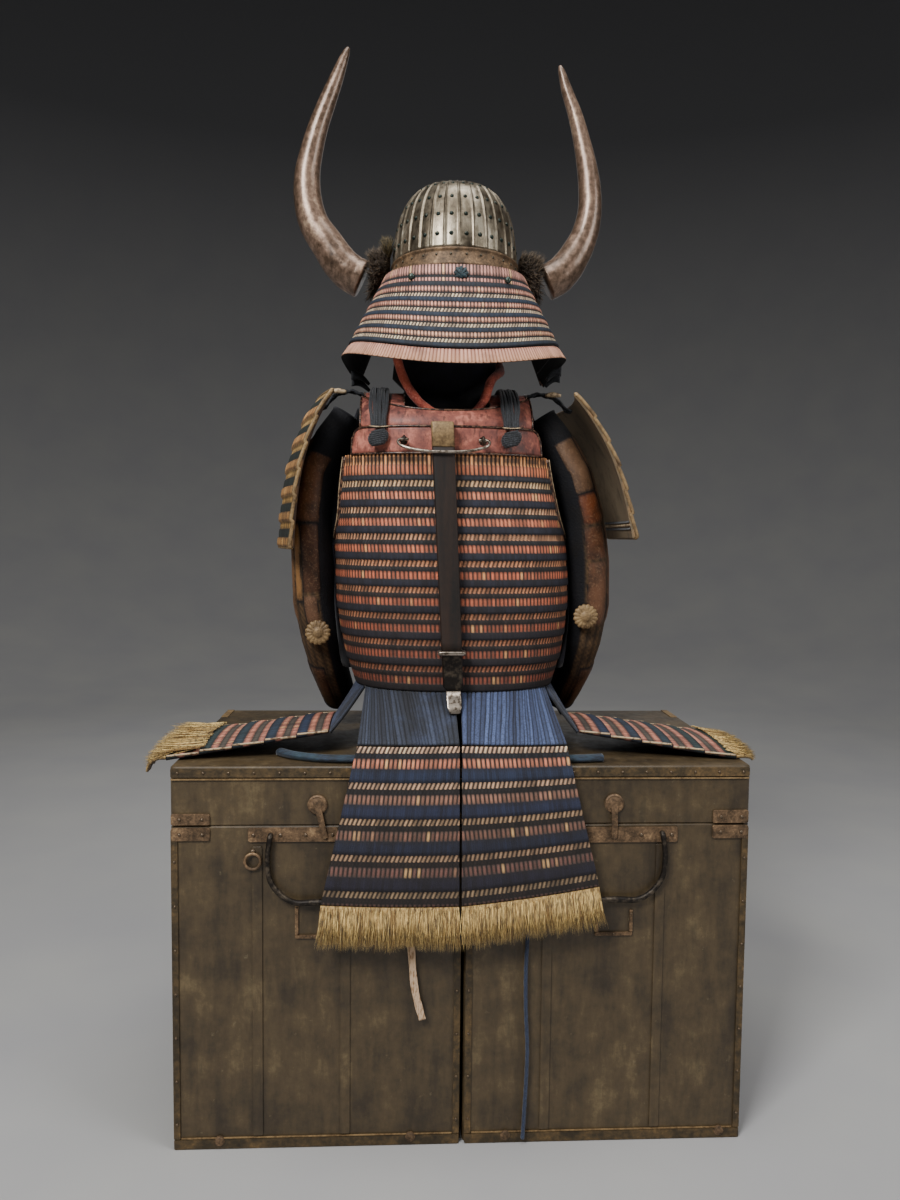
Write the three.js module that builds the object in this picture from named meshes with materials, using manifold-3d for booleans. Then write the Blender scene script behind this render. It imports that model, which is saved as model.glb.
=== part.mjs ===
// Samurai armour, seen from its back, on a limbless form that stands on two storage chests.
// Millimetres, +Z up, +Y towards the armour's own front. The origin is on the floor under its middle.
import * as THREE from 'three';
import Module from 'manifold-3d';

const wasm = await Module();
wasm.setup();

// Driving dimensions
const SEAM = 0.4; // gap between pieces that meet
const CHEST = { width: 428.5, depth: 432, bodyTop: 492, top: 580, apart: 3, middleX: 12 };
const MIDDLE_Y = -15; // middle of the cuirass, front to back
const CUIRASS = { hem: 678, top: 1043, lamePitch: 40.5, wall: 4, relief: 3.2, power: 2.3 };
const BACK_PLATE = { bottom: 1043.5, top: 1084, halfWidth: 149, wall: 3.4, rim: 1.6, corner: 16 };
const COLLAR = { neckTop: 1110, shoulderTop: 1139, halfWidth: 137, wall: 3, lean: 58 };
const STRAP = { outFromMiddle: 98, width: 62, wall: 3 };
const POLE = { topX: -23, bottomX: -4, width: 34, thick: 18, back: -155.5, top: 1050, bottom: 745 };
const BAIL = { axisY: -158, axisZ: 1062, leftX: -81, rightX: 38, wire: 2.2, drop: 28 };
const TASSET = { lames: 5, wall: 3, relief: 3, edgeY: 222, lameTop: 612, fringeEndY: 262 };
const SIDE_REACH = 470; // outermost hair of the side tassets
const HELMET = { middleX: -1, middleY: -20, bandBottom: 1324, bandTop: 1351, wall: 3 };
const NECK_GUARD = { endAngle: 118, wall: 3, relief: 2.4, lames: 6, bottomLameShare: 0.14 };
const GUARD = { top: 1137, rearY: -136, frontY: 100, wall: 4, relief: 3, lames: 6 };
const SLEEVE = { wall: 2, splint: 2.2, columns: 16 };

// Sections of the cuirass from hem to shoulder
const CUIRASS_SECTIONS = [
  { z: 678, halfWidth: 160, halfDepth: 126, middleX: 4 },
  { z: 730, halfWidth: 177, halfDepth: 131, middleX: 3 },
  { z: 810, halfWidth: 189, halfDepth: 134, middleX: 1 },
  { z: 890, halfWidth: 189, halfDepth: 135, middleX: -2 },
  { z: 950, halfWidth: 186, halfDepth: 133, middleX: -8 },
  { z: 1010, halfWidth: 181, halfDepth: 131, middleX: -13 },
  { z: 1090, halfWidth: 174, halfDepth: 128, middleX: -15 },
];

// How far round, in degrees from the middle, the back and the front reach beside the armholes
const ARMHOLES = [
  { z: 905, back: 89.95, front: 89.95 },
  { z: 918, back: 80, front: 74 },
  { z: 945, back: 69, front: 56 },
  { z: 985, back: 65, front: 46 },
  { z: 1043, back: 61, front: 41 },
];

// Helmet bowl from the band to the crown
const BOWL_SECTIONS = [
  { z: 1351.4, halfWidth: 99, halfDepth: 119 },
  { z: 1380, halfWidth: 97, halfDepth: 115 },
  { z: 1410, halfWidth: 92, halfDepth: 108 },
  { z: 1438, halfWidth: 82, halfDepth: 96 },
  { z: 1464, halfWidth: 60, halfDepth: 71 },
  { z: 1482, halfWidth: 20, halfDepth: 23 },
];

// Rows down a horn: the left one's own sizes, then the right one's
const HORN_LEFT = [
  { x: -151, z: 1333, radius: 30 },
  { x: -168, z: 1341, radius: 30 },
  { x: -186, z: 1357, radius: 29 },
  { x: -206, z: 1385, radius: 27 },
  { x: -228, z: 1418, radius: 24.5 },
  { x: -238, z: 1456, radius: 22.5 },
  { x: -239, z: 1494, radius: 20.5 },
  { x: -232, z: 1532, radius: 18 },
  { x: -222, z: 1569, radius: 16 },
  { x: -208, z: 1607, radius: 14 },
  { x: -193, z: 1645, radius: 11 },
  { x: -178, z: 1684, radius: 6 },
  { x: -174, z: 1693, radius: 3 },
];
const HORN_RIGHT = [
  { x: 149, z: 1334, radius: 29 },
  { x: 165, z: 1342, radius: 29 },
  { x: 181, z: 1357, radius: 27.5 },
  { x: 197, z: 1381, radius: 25 },
  { x: 211, z: 1411, radius: 22 },
  { x: 219, z: 1450, radius: 19.5 },
  { x: 218, z: 1488, radius: 18 },
  { x: 212, z: 1526, radius: 16 },
  { x: 203, z: 1564, radius: 13.5 },
  { x: 192, z: 1602, radius: 11.5 },
  { x: 178, z: 1639, radius: 9 },
  { x: 168, z: 1671, radius: 5 },
  { x: 166, z: 1677, radius: 2.5 },
];

// Sleeve from the shoulder to the wrist; clear is its distance outside the cuirass's side
const SLEEVE_SECTIONS = [
  { z: 1112, clear: -42, y: -8, across: 24, along: 48 },
  { z: 1072, clear: -24, y: -9, across: 29, along: 57 },
  { z: 1020, clear: -4, y: -10, across: 31, along: 62 },
  { z: 950, clear: 4, y: -10, across: 32, along: 64 },
  { z: 880, clear: 2.2, y: -8, across: 33, along: 61 },
  { z: 810, clear: 3.4, y: -3, across: 33, along: 55 },
  { z: 750, clear: 6, y: 8, across: 31, along: 49 },
  { z: 705, clear: 12, y: 30, across: 29, along: 43 },
  { z: 668, clear: 15, y: 58, across: 27, along: 38 },
  { z: 640, clear: 12, y: 88, across: 25, along: 34 },
];

// The form: a plain torso, neck and head block
const FORM_SECTIONS = [
  { z: 580.4, halfWidth: 98, halfDepth: 68, middleX: 4, middleY: -12 },
  { z: 600, halfWidth: 98, halfDepth: 68, middleX: 4, middleY: -12 },
  { z: 960, halfWidth: 104, halfDepth: 72, middleX: -8, middleY: -12 },
  { z: 1080, halfWidth: 112, halfDepth: 66, middleX: -13, middleY: -10 },
  { z: 1128, halfWidth: 124, halfDepth: 56, middleX: -14, middleY: -8 },
  { z: 1143.5, halfWidth: 114, halfDepth: 34, middleX: -14, middleY: -10 },
  { z: 1144.5, halfWidth: 64, halfDepth: 36, middleX: -15, middleY: -10 },
  { z: 1158, halfWidth: 66, halfDepth: 58, middleX: -16, middleY: -10 },
  { z: 1176, halfWidth: 84, halfDepth: 67, middleX: -17, middleY: -11 },
  { z: 1240, halfWidth: 84, halfDepth: 80, middleX: -11, middleY: -15 },
  { z: 1300, halfWidth: 84, halfDepth: 92, middleX: -4, middleY: -19 },
  { z: 1380, halfWidth: 84, halfDepth: 98, middleX: -1, middleY: -20 },
  { z: 1420, halfWidth: 78, halfDepth: 90, middleX: -1, middleY: -20 },
];

// Small helpers
const vec = (x, y, z) => new THREE.Vector3(x, y, z);
const mix = THREE.MathUtils.lerp;
const radians = THREE.MathUtils.degToRad;
const steps = (count) => Array.from({ length: count + 1 }, (_, i) => i / count);

// The value of one column of a table at a place along it, on a smooth line through the rows
function read(table, by, place, name) {
  const last = table.length - 1;
  const rising = table[last][by] > table[0][by];
  const after = table.findIndex((row) => (rising ? row[by] > place : row[by] < place));
  if (after === 0) return table[0][name];
  if (after < 0) return table[last][name];
  const from = table[after - 1];
  const to = table[after];
  const slope = (i) => {
    const low = table[Math.max(i - 1, 0)];
    const high = table[Math.min(i + 1, last)];
    return (high[name] - low[name]) / (high[by] - low[by]);
  };
  const span = to[by] - from[by];
  const t = (place - from[by]) / span;
  const ease = t * t * (3 - 2 * t);
  const bend = span * (t * (1 - t) * (1 - t) * slope(after - 1) - t * t * (1 - t) * slope(after));
  return mix(from[name], to[name], ease) + bend;
}

// A point on a rounded oval: angle 0 is the rear, positive towards +X
function oval(angle, halfWidth, halfDepth, power) {
  const bend = (s) => Math.sign(s) * Math.abs(s) ** (2 / power);
  return [halfWidth * bend(Math.sin(angle)), -halfDepth * bend(Math.cos(angle))];
}

// One closed body from points and triangles, turned so that its faces point out
function body(points, faces) {
  let volume = 0;
  for (let i = 0; i < faces.length; i += 3) {
    const [a, b, c] = [points[faces[i]], points[faces[i + 1]], points[faces[i + 2]]];
    volume += a.dot(b.clone().cross(c));
  }
  const index = volume > 0 ? faces : [...faces].reverse();
  const geometry = new THREE.BufferGeometry();
  geometry.setAttribute('position', new THREE.Float32BufferAttribute(points.flatMap((p) => p.toArray()), 3));
  geometry.setIndex(index);
  return geometry;
}

// A closed wall between two grids of points; a wrapped grid is a tube
function wall(outer, inner, wrapped) {
  const rows = outer.length;
  const columns = outer[0].length;
  const faces = [];
  const front = (r, c) => r * columns + (c % columns);
  const back = (r, c) => rows * columns + front(r, c);
  const quad = (a, b, c, d) => faces.push(a, b, c, a, c, d);
  const across = wrapped ? columns : columns - 1;
  for (let r = 0; r < rows - 1; r += 1) {
    for (let c = 0; c < across; c += 1) {
      quad(front(r, c), front(r, c + 1), front(r + 1, c + 1), front(r + 1, c));
      quad(back(r, c), back(r + 1, c), back(r + 1, c + 1), back(r, c + 1));
    }
    if (!wrapped) {
      quad(front(r, 0), front(r + 1, 0), back(r + 1, 0), back(r, 0));
      quad(front(r + 1, across), front(r, across), back(r, across), back(r + 1, across));
    }
  }
  for (let c = 0; c < across; c += 1) {
    quad(front(0, c + 1), front(0, c), back(0, c), back(0, c + 1));
    quad(front(rows - 1, c), front(rows - 1, c + 1), back(rows - 1, c + 1), back(rows - 1, c));
  }
  return body([...outer.flat(), ...inner.flat()], faces);
}

// A sheet of some thickness on surface(u, v), raised by relief(u, v, column) on its outer side.
// side is 1 or -1, whichever turns the surface's own normal outwards.
function sheet(us, vs, surface, { thick, side, relief = () => 0, wrapped = false }) {
  const tiny = 1e-3;
  const outer = [];
  const inner = [];
  for (const v of vs) {
    const outerRow = [];
    const innerRow = [];
    us.forEach((u, column) => {
      const point = surface(u, v);
      const [u0, u1] = wrapped ? [u - tiny, u + tiny] : [Math.max(u - tiny, 0), Math.min(u + tiny, 1)];
      const along = surface(u1, v).sub(surface(u0, v));
      const down = surface(u, Math.min(v + tiny, 1)).sub(surface(u, Math.max(v - tiny, 0)));
      const normal = along.cross(down).normalize().multiplyScalar(side);
      outerRow.push(point.clone().addScaledVector(normal, relief(u, v, column)));
      innerRow.push(point.clone().addScaledVector(normal, -thick));
    });
    outer.push(outerRow);
    inner.push(innerRow);
  }
  return wall(outer, inner, wrapped);
}

// A closed body through rings of points, with a flat fan at each end
function loft(rings) {
  const count = rings[0].length;
  const points = rings.flat();
  const faces = [];
  for (let r = 0; r < rings.length - 1; r += 1) {
    for (let c = 0; c < count; c += 1) {
      const next = (c + 1) % count;
      const [a, b] = [r * count + c, r * count + next];
      faces.push(a, b, b + count, a, b + count, a + count);
    }
  }
  [0, rings.length - 1].forEach((r, end) => {
    const middle = points.length;
    const sum = rings[r].reduce((total, p) => total.add(p), vec(0, 0, 0));
    points.push(sum.divideScalar(count));
    for (let c = 0; c < count; c += 1) {
      const [a, b] = [r * count + c, r * count + ((c + 1) % count)];
      faces.push(...(end ? [a, b, middle] : [b, a, middle]));
    }
  });
  return body(points, faces);
}

// A body along a path, with half sizes [across, along] at each of its points.
// across starts square to the reference and turns as little as the path allows.
function sweep(path, halfSizes, { sides = 10, reference = vec(0, 1, 0), power = 2, flute = () => 1 } = {}) {
  let keep = reference.clone();
  const rings = path.map((point, i) => {
    const before = path[Math.max(i - 1, 0)];
    const after = path[Math.min(i + 1, path.length - 1)];
    const tangent = after.clone().sub(before).normalize();
    const along = keep.clone().addScaledVector(tangent, -keep.dot(tangent)).normalize();
    keep = along;
    const across = tangent.clone().cross(along).normalize();
    const [a, b] = halfSizes(i / (path.length - 1), i);
    return Array.from({ length: sides }, (_, k) => {
      const [x, y] = oval((2 * Math.PI * (k + 0.5)) / sides, a, b, power);
      const size = flute(k, i);
      return point.clone().addScaledVector(across, x * size).addScaledVector(along, y * size);
    });
  });
  return loft(rings);
}

// Points on a smooth curve through a few points
const smooth = (points, count) => new THREE.CatmullRomCurve3(points, false, 'centripetal').getPoints(count);

// A mesh's geometry as a solid to join or cut, and back
function solidOf(geometry) {
  const loose = geometry.index ? geometry.toNonIndexed() : geometry;
  const position = loose.getAttribute('position');
  const keys = new Map();
  const points = [];
  const triVerts = [];
  for (let i = 0; i < position.count; i += 1) {
    const point = [position.getX(i), position.getY(i), position.getZ(i)];
    const key = point.map((n) => n.toFixed(3)).join();
    if (!keys.has(key)) {
      keys.set(key, points.length / 3);
      points.push(...point);
    }
    triVerts.push(keys.get(key));
  }
  const mesh = { numProp: 3, vertProperties: new Float32Array(points), triVerts: new Uint32Array(triVerts) };
  return new wasm.Manifold(new wasm.Mesh(mesh));
}
function geometryOf(solid) {
  const mesh = solid.getMesh();
  const geometry = new THREE.BufferGeometry();
  geometry.setAttribute('position', new THREE.BufferAttribute(mesh.vertProperties, 3));
  geometry.setIndex(new THREE.BufferAttribute(mesh.triVerts, 1));
  return geometry;
}

// Finishes
const FINISHES = {
  lacing: { color: 0x3a3038, roughness: 0.85, metalness: 0 },
  lacquer: { color: 0x7c3a2c, roughness: 0.5, metalness: 0.1 },
  strings: { color: 0x343c54, roughness: 0.9, metalness: 0 },
  hair: { color: 0xb89458, roughness: 0.95, metalness: 0 },
  iron: { color: 0x5d5546, roughness: 0.5, metalness: 0.8 },
  darkIron: { color: 0x4a4238, roughness: 0.6, metalness: 0.7 },
  horn: { color: 0x7b6450, roughness: 0.4, metalness: 0.1 },
  fur: { color: 0x3b2f27, roughness: 1, metalness: 0 },
  cloth: { color: 0x0d0e14, roughness: 0.95, metalness: 0 },
  cord: { color: 0x15161a, roughness: 0.9, metalness: 0 },
  salmon: { color: 0xc4583f, roughness: 0.8, metalness: 0 },
  sleeve: { color: 0x4c3a2a, roughness: 0.7, metalness: 0.2 },
  guard: { color: 0x6b5b34, roughness: 0.7, metalness: 0.2 },
  wood: { color: 0x2e241b, roughness: 0.6, metalness: 0 },
  brass: { color: 0x9a7d55, roughness: 0.5, metalness: 0.6 },
  cream: { color: 0xd9b595, roughness: 0.9, metalness: 0 },
  chest: { color: 0x3d372c, roughness: 0.55, metalness: 0 },
};

const armour = new THREE.Group();
function add(name, finish, geometry) {
  const mesh = new THREE.Mesh(geometry, new THREE.MeshStandardMaterial(FINISHES[finish]));
  mesh.name = name;
  armour.add(mesh);
  return mesh;
}

// Storage chests
function chestBlock(bottom, top) {
  const round = 7;
  const bevel = 2;
  const [halfX, halfY] = [CHEST.width / 2 - bevel, CHEST.depth / 2 - bevel];
  const outline = new THREE.Shape();
  outline.moveTo(halfX - round, -halfY);
  outline.absarc(halfX - round, -halfY + round, round, -Math.PI / 2, 0);
  outline.absarc(halfX - round, halfY - round, round, 0, Math.PI / 2);
  outline.absarc(-halfX + round, halfY - round, round, Math.PI / 2, Math.PI);
  outline.absarc(-halfX + round, -halfY + round, round, Math.PI, 1.5 * Math.PI);
  const block = new THREE.ExtrudeGeometry(outline, {
    depth: top - bottom - 2 * bevel,
    bevelEnabled: true,
    bevelSize: bevel,
    bevelThickness: bevel,
    bevelSegments: 1,
    curveSegments: 2,
  });
  return block.translate(0, 0, bottom + bevel);
}

// A drop handle: out of the chest, down each side and across
function chestHandle() {
  const [halfSpan, drop, wire, standOff] = [70, 99, 4.5, 8];
  const half = [
    vec(halfSpan, SEAM, 0),
    vec(halfSpan, -standOff + 2.5, 0),
    vec(halfSpan + 0.5, -standOff, -4),
    vec(halfSpan + 4, -standOff, -36),
    vec(halfSpan, -standOff, -66),
    vec(halfSpan - 16, -standOff, -88),
    vec(halfSpan - 36, -standOff, -drop),
    vec(halfSpan - 60, -standOff, -drop),
  ];
  const otherHalf = half.map((p) => vec(-p.x, p.y, p.z)).reverse();
  return sweep([...half, ...otherHalf], () => [wire, wire], { sides: 6, reference: vec(1, 0, 0) });
}

function addChests() {
  const handles = { left: -202, right: 238 };
  for (const [name, side] of [['left', -1], ['right', 1]]) {
    const x = CHEST.middleX + (side * (CHEST.width + CHEST.apart)) / 2;
    add(`chest_${name}`, 'chest', chestBlock(0, CHEST.bodyTop)).position.x = x;
    add(`chest_${name}_lid`, 'chest', chestBlock(CHEST.bodyTop + SEAM, CHEST.top)).position.x = x;
    const handleTop = 479;
    add(`chest_handle_${name}`, 'darkIron', chestHandle())
      .position.set(handles[name], -CHEST.depth / 2 - 2 * SEAM, handleTop);
  }
}

// The form that carries the armour
function addForm() {
  const sides = 16;
  const ring = (row) => Array.from({ length: sides }, (_, k) => {
    const [x, y] = oval((2 * Math.PI * k) / sides, row.halfWidth, row.halfDepth, 2.2);
    return vec(row.middleX + x, row.middleY + y, row.z);
  });
  // The top of the head block lies just under the inside of the helmet bowl
  const crown = BOWL_SECTIONS.slice(-2).map((row) => ({
    z: row.z - HELMET.wall - SEAM,
    halfWidth: row.halfWidth - HELMET.wall,
    halfDepth: row.halfDepth - HELMET.wall,
    middleX: HELMET.middleX,
    middleY: HELMET.middleY,
  }));
  add('form', 'cloth', loft([...FORM_SECTIONS, ...crown].map(ring)));
}

// Cuirass
const cuirassAt = (z, name) => read(CUIRASS_SECTIONS, 'z', z, name);
function cuirassPoint(angle, z) {
  const [x, y] = oval(angle, cuirassAt(z, 'halfWidth'), cuirassAt(z, 'halfDepth'), CUIRASS.power);
  return vec(cuirassAt(z, 'middleX') + x, MIDDLE_Y + y, z);
}

// Rows across a laced panel: each lame stands out under its braid and steps back at its lower edge
const LAME_PROFILE = [
  { share: 0, raised: 0.1 },
  { share: 0.12, raised: 1 },
  { share: 0.66, raised: 0.85 },
];
function lameRows(lames) {
  const rows = [];
  for (let lame = 0; lame < lames; lame += 1) {
    LAME_PROFILE.forEach(({ share, raised }) => rows.push({ v: (lame + share) / lames, raised }));
  }
  return [...rows, { v: 1, raised: 0.1 }];
}
function rowPanel(us, rows, surface, { thick, side, height }) {
  const raised = new Map(rows.map((row) => [row.v, row.raised]));
  const relief = (u, v) => height * raised.get(v);
  return sheet(us, rows.map((row) => row.v), surface, { thick, side, relief });
}
const lacedPanel = (us, lames, surface, make) => rowPanel(us, lameRows(lames), surface, make);

function addCuirass() {
  const lames = Math.round((CUIRASS.top - CUIRASS.hem) / CUIRASS.lamePitch);
  const half = (name, turn, columns, side) => {
    const surface = (u, v) => {
      const z = mix(CUIRASS.top, CUIRASS.hem, v);
      const reach = z < ARMHOLES[0].z ? ARMHOLES[0][name] : read(ARMHOLES, 'z', z, name);
      return cuirassPoint(turn + radians(reach) * (2 * u - 1), z);
    };
    const make = { thick: CUIRASS.wall, side, height: CUIRASS.relief };
    return lacedPanel(steps(columns), lames, surface, make);
  };
  add('cuirass_back', 'lacing', half('back', 0, 12, -1));
  add('cuirass_front', 'lacing', half('front', Math.PI, 8, -1));
}

// Angle on the cuirass at which x is s of a half width out from the middle
function angleOf(s, halfWidth, z) {
  const share = Math.min(Math.abs(s) * (halfWidth / cuirassAt(z, 'halfWidth')), 1);
  return Math.sign(s) * Math.asin(share ** (CUIRASS.power / 2));
}
const plateTop = (s) => {
  const cornerStart = 1 - BACK_PLATE.corner / BACK_PLATE.halfWidth;
  const past = Math.max(Math.abs(s) - cornerStart, 0) / (1 - cornerStart);
  return BACK_PLATE.top - BACK_PLATE.corner * (1 - Math.sqrt(Math.max(1 - past * past, 0)));
};
function platePoint(s, v) {
  const z = mix(plateTop(s), BACK_PLATE.bottom, v);
  return cuirassPoint(angleOf(s, BACK_PLATE.halfWidth, BACK_PLATE.bottom), z);
}
function collarPoint(s, v) {
  const bottomZ = plateTop((s * COLLAR.halfWidth) / BACK_PLATE.halfWidth) + SEAM;
  const rise = Math.abs(s) ** 2.4;
  const topZ = mix(COLLAR.neckTop, COLLAR.shoulderTop, rise);
  const foot = cuirassPoint(angleOf(s, COLLAR.halfWidth, BACK_PLATE.bottom), bottomZ);
  const up = 1 - v;
  const lean = COLLAR.lean * (topZ - bottomZ) * (up * up) * (1 + rise) * 0.0075;
  return vec(foot.x, foot.y + lean, mix(topZ, bottomZ, v));
}
function eyeLug(x, plateY) {
  const [ring, hole, thick] = [6.5, 3.1, 5];
  const reach = plateY - BAIL.axisY + 1.5;
  const outline = new THREE.Shape();
  outline.moveTo(reach, -ring);
  outline.lineTo(reach, ring);
  outline.lineTo(0, ring);
  outline.absarc(0, 0, ring, Math.PI / 2, 1.5 * Math.PI);
  outline.lineTo(reach, -ring);
  const opening = new THREE.Path();
  opening.absarc(0, 0, hole, 0, 2 * Math.PI);
  outline.holes.push(opening);
  const lug = new THREE.ExtrudeGeometry(outline, { depth: thick, bevelEnabled: false, curveSegments: 6 });
  // the outline's x runs along +Y, its y along +Z and its depth along +X
  const turn = new THREE.Matrix4().makeBasis(vec(0, 1, 0), vec(0, 0, 1), vec(1, 0, 0));
  return lug.applyMatrix4(turn).translate(x - thick / 2, BAIL.axisY, BAIL.axisZ);
}

function addPlates() {
  // The rim stands up along each edge of a plate
  const rimmed = (count) => [0, 0.03, ...steps(count).slice(1, -1), 0.97, 1];
  const rimRelief = (u, v) => (Math.min(u, 1 - u) < 0.02 || Math.min(v, 1 - v) < 0.05 ? BACK_PLATE.rim : 0);
  const plate = sheet(rimmed(10), [0, 0.1, 0.9, 1], (u, v) => {
    const outward = platePoint(2 * u - 1, v);
    return outward.add(vec(0, -BACK_PLATE.wall, 0));
  }, { thick: BACK_PLATE.wall, side: -1, relief: rimRelief });
  const plateMiddle = cuirassAt(BACK_PLATE.bottom, 'middleX');
  const plateAt = (x) => platePoint((x - plateMiddle) / BACK_PLATE.halfWidth, 0.5);
  const lugs = [BAIL.leftX, BAIL.rightX].map((x) => eyeLug(x, plateAt(x).y - BACK_PLATE.wall));
  const joined = lugs.reduce((solid, lug) => solid.add(solidOf(lug)), solidOf(plate));
  add('back_plate', 'lacquer', geometryOf(joined));

  const collarRelief = (u, v) => (v < 0.05 ? BACK_PLATE.rim : 0);
  const collarSurface = (u, v) => collarPoint(2 * u - 1, v);
  add('collar_plate', 'lacquer', sheet(steps(12), [0, 0.1, 0.4, 0.7, 1], collarSurface, {
    thick: COLLAR.wall, side: -1, relief: collarRelief,
  }));

  const chestPlate = { halfAngle: 41, bottom: 1043.5, top: 1082 };
  add('chest_plate', 'lacquer', sheet(rimmed(6), [0, 0.1, 0.9, 1], (u, v) => {
    const angle = Math.PI + radians(chestPlate.halfAngle) * (2 * u - 1);
    const dip = 14 * (1 - (2 * u - 1) ** 2);
    const z = mix(chestPlate.top - dip, chestPlate.bottom, v);
    return cuirassPoint(angle, z);
  }, { thick: BACK_PLATE.wall, side: -1, relief: rimRelief }));
}

// Shoulder straps run from the collar over the form's shoulders to the chest plate
function strapMiddle(side) {
  return cuirassAt(CUIRASS_SECTIONS.at(-1).z, 'middleX') + side * STRAP.outFromMiddle;
}
function addStraps() {
  const line = smooth([
    vec(0, -92, 1132),
    vec(0, -66, 1143),
    vec(0, -40, 1147.6),
    vec(0, -8, 1148.4),
    vec(0, 26, 1147),
    vec(0, 60, 1130),
    vec(0, 88, 1100),
    vec(0, 99, 1080.5),
  ], 12);
  const rearBlend = 0.22;
  for (const [name, side] of [['left', -1], ['right', 1]]) {
    const surface = (u, v) => {
      const place = v * (line.length - 1);
      const i = Math.min(Math.floor(place), line.length - 2);
      const point = line[i].clone().lerp(line[i + 1], place - i);
      point.x = strapMiddle(side) + (u - 0.5) * STRAP.width;
      // the rear edge starts just over the collar's own top edge
      const out = (point.x - strapMiddle(0)) / COLLAR.halfWidth;
      const collar = collarPoint(out, 0).add(vec(0, 1.5, 1.9));
      return point.lerp(collar, Math.max(1 - v / rearBlend, 0) ** 2);
    };
    const strap = sheet(steps(2), steps(9), surface, { thick: STRAP.wall, side: 1 });
    add(`shoulder_strap_${name}`, 'lacquer', strap);
  }
}

// A bunch of cords over each shoulder, tied off in a knot on the back plate
function addShoulderCords() {
  const rows = [
    { y: -20, z: 1153, halfWidth: 13, halfThick: 4 },
    { y: -52, z: 1153, halfWidth: 13, halfThick: 4 },
    { y: -82, z: 1147, halfWidth: 13, halfThick: 4.5 },
    { y: -112, z: 1133, halfWidth: 13, halfThick: 4.5 },
    { y: -134, z: 1112, halfWidth: 12.5, halfThick: 4.5 },
    { y: -145, z: 1094, halfWidth: 12, halfThick: 4.5 },
    { y: -148, z: 1081, halfWidth: 9, halfThick: 5 },
    { y: -149, z: 1076, halfWidth: 14, halfThick: 7 },
    { y: -149, z: 1067, halfWidth: 17, halfThick: 8.5 },
    { y: -148.5, z: 1058, halfWidth: 13, halfThick: 7 },
    { y: -148, z: 1053, halfWidth: 6, halfThick: 3.5 },
  ];
  for (const [name, x, shift] of [['left', -120, 9.1], ['right', 82, 5.8]]) {
    const path = rows.map((row) => vec(x, row.y + shift, row.z));
    const flute = (k, i) => (i < 7 && k % 2 ? 0.86 : 1);
    const cords = sweep(path, (_, i) => [rows[i].halfWidth, rows[i].halfThick], {
      sides: 12, reference: vec(0, 0, 1), power: 2.6, flute,
    });
    add(`shoulder_cords_${name}`, 'cord', cords);
  }
}

// Fittings on the back: bracket, pole, socket and bail
const poleX = (z) => mix(POLE.bottomX, POLE.topX, (z - 690) / (1063 - 690));
function bar(rows, halfWidth) {
  return loft(rows.map(({ z, near, far, wide = 1 }) => {
    const half = halfWidth * wide;
    const corner = (sx, y) => vec(poleX(z) + sx * half, y, z);
    return [corner(-1, near), corner(1, near), corner(1, far), corner(-1, far)];
  }));
}
function addBackFittings() {
  const plateY = platePoint(0, 0.5).y - BACK_PLATE.wall - BACK_PLATE.rim + 0.75;
  const front = POLE.back - POLE.thick;
  add('pole_bracket', 'brass', bar([
    { z: POLE.top + SEAM, near: front + 1, far: plateY - SEAM },
    { z: 1088, near: front + 1, far: plateY - SEAM },
  ], POLE.width / 2));
  add('pole', 'wood', bar([
    { z: POLE.bottom, near: front, far: POLE.back, wide: 0.92 },
    { z: POLE.top, near: front, far: POLE.back },
  ], POLE.width / 2));
  const rim = POLE.bottom - SEAM;
  add('pole_socket', 'darkIron', bar([
    { z: 652, near: -186.5, far: -183, wide: 0.5 },
    { z: 662, near: -179, far: -174, wide: 0.62 },
    { z: 684, near: -170, far: -160, wide: 0.62 },
    { z: 690, near: -171, far: -156, wide: 0.9 },
    { z: rim - 6, near: front, far: POLE.back, wide: 0.9 },
    { z: rim - 5, near: front - 3, far: POLE.back + 2.5, wide: 1.25 },
    { z: rim, near: front - 3, far: POLE.back + 2.5, wide: 1.25 },
  ], POLE.width / 2));
}

// The bail's ends pass outwards through the eyes, then it sags across in front of the pole
function addBail() {
  const middle = (BAIL.leftX + BAIL.rightX) / 2;
  const half = (BAIL.rightX - BAIL.leftX) / 2;
  const hang = [
    { x: half - 7, out: 0 },
    { x: half + 5, out: 0 },
    { x: half + 9, out: 0.12 },
    { x: half + 7, out: 0.42 },
    { x: half - 8, out: 0.74 },
    { x: half * 0.45, out: 0.95 },
    { x: 0, out: 1 },
  ];
  const [outY, outZ] = [-0.72 * BAIL.drop, -0.7 * BAIL.drop];
  const right = hang.map(({ x, out }) => vec(middle + x, out * outY, out * outZ));
  const left = hang.slice(0, -1).map(({ x, out }) => vec(middle - x, out * outY, out * outZ)).reverse();
  const wire = smooth([...right, ...left], 32);
  add('bail', 'darkIron', sweep(wire, () => [BAIL.wire, BAIL.wire], { sides: 6, reference: vec(0, 0, 1) }))
    .position.set(0, BAIL.axisY, BAIL.axisZ);
}

// Tassets. A hung one goes over the edge of a chest, rear or front; u runs from left to right as seen.
const HUNG_TASSETS = [
  {
    name: 'rear_left', face: -1, from: -62, to: -1,
    top: [-146, 3], bottom: [-197, 3.5], low: [384, 380], hair: [322, 322],
  },
  {
    name: 'rear_right', face: -1, from: 1, to: 62,
    top: [7, 161], bottom: [7.5, 209], low: [380, 408], hair: [322, 370],
  },
  {
    name: 'front_left', face: 1, from: 249, to: 204,
    top: [-152, -54], bottom: [-190, -68], low: [384, 384], hair: [330, 330],
  },
  {
    name: 'front_middle', face: 1, from: 203, to: 157,
    top: [-50, 54], bottom: [-64, 64], low: [384, 384], hair: [330, 330],
  },
  {
    name: 'front_right', face: 1, from: 156, to: 111,
    top: [58, 156], bottom: [68, 192], low: [384, 384], hair: [330, 330],
  },
];
const STRING_TILT = 2.4; // how far a slanting panel's thickness reaches past its middle line
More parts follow.
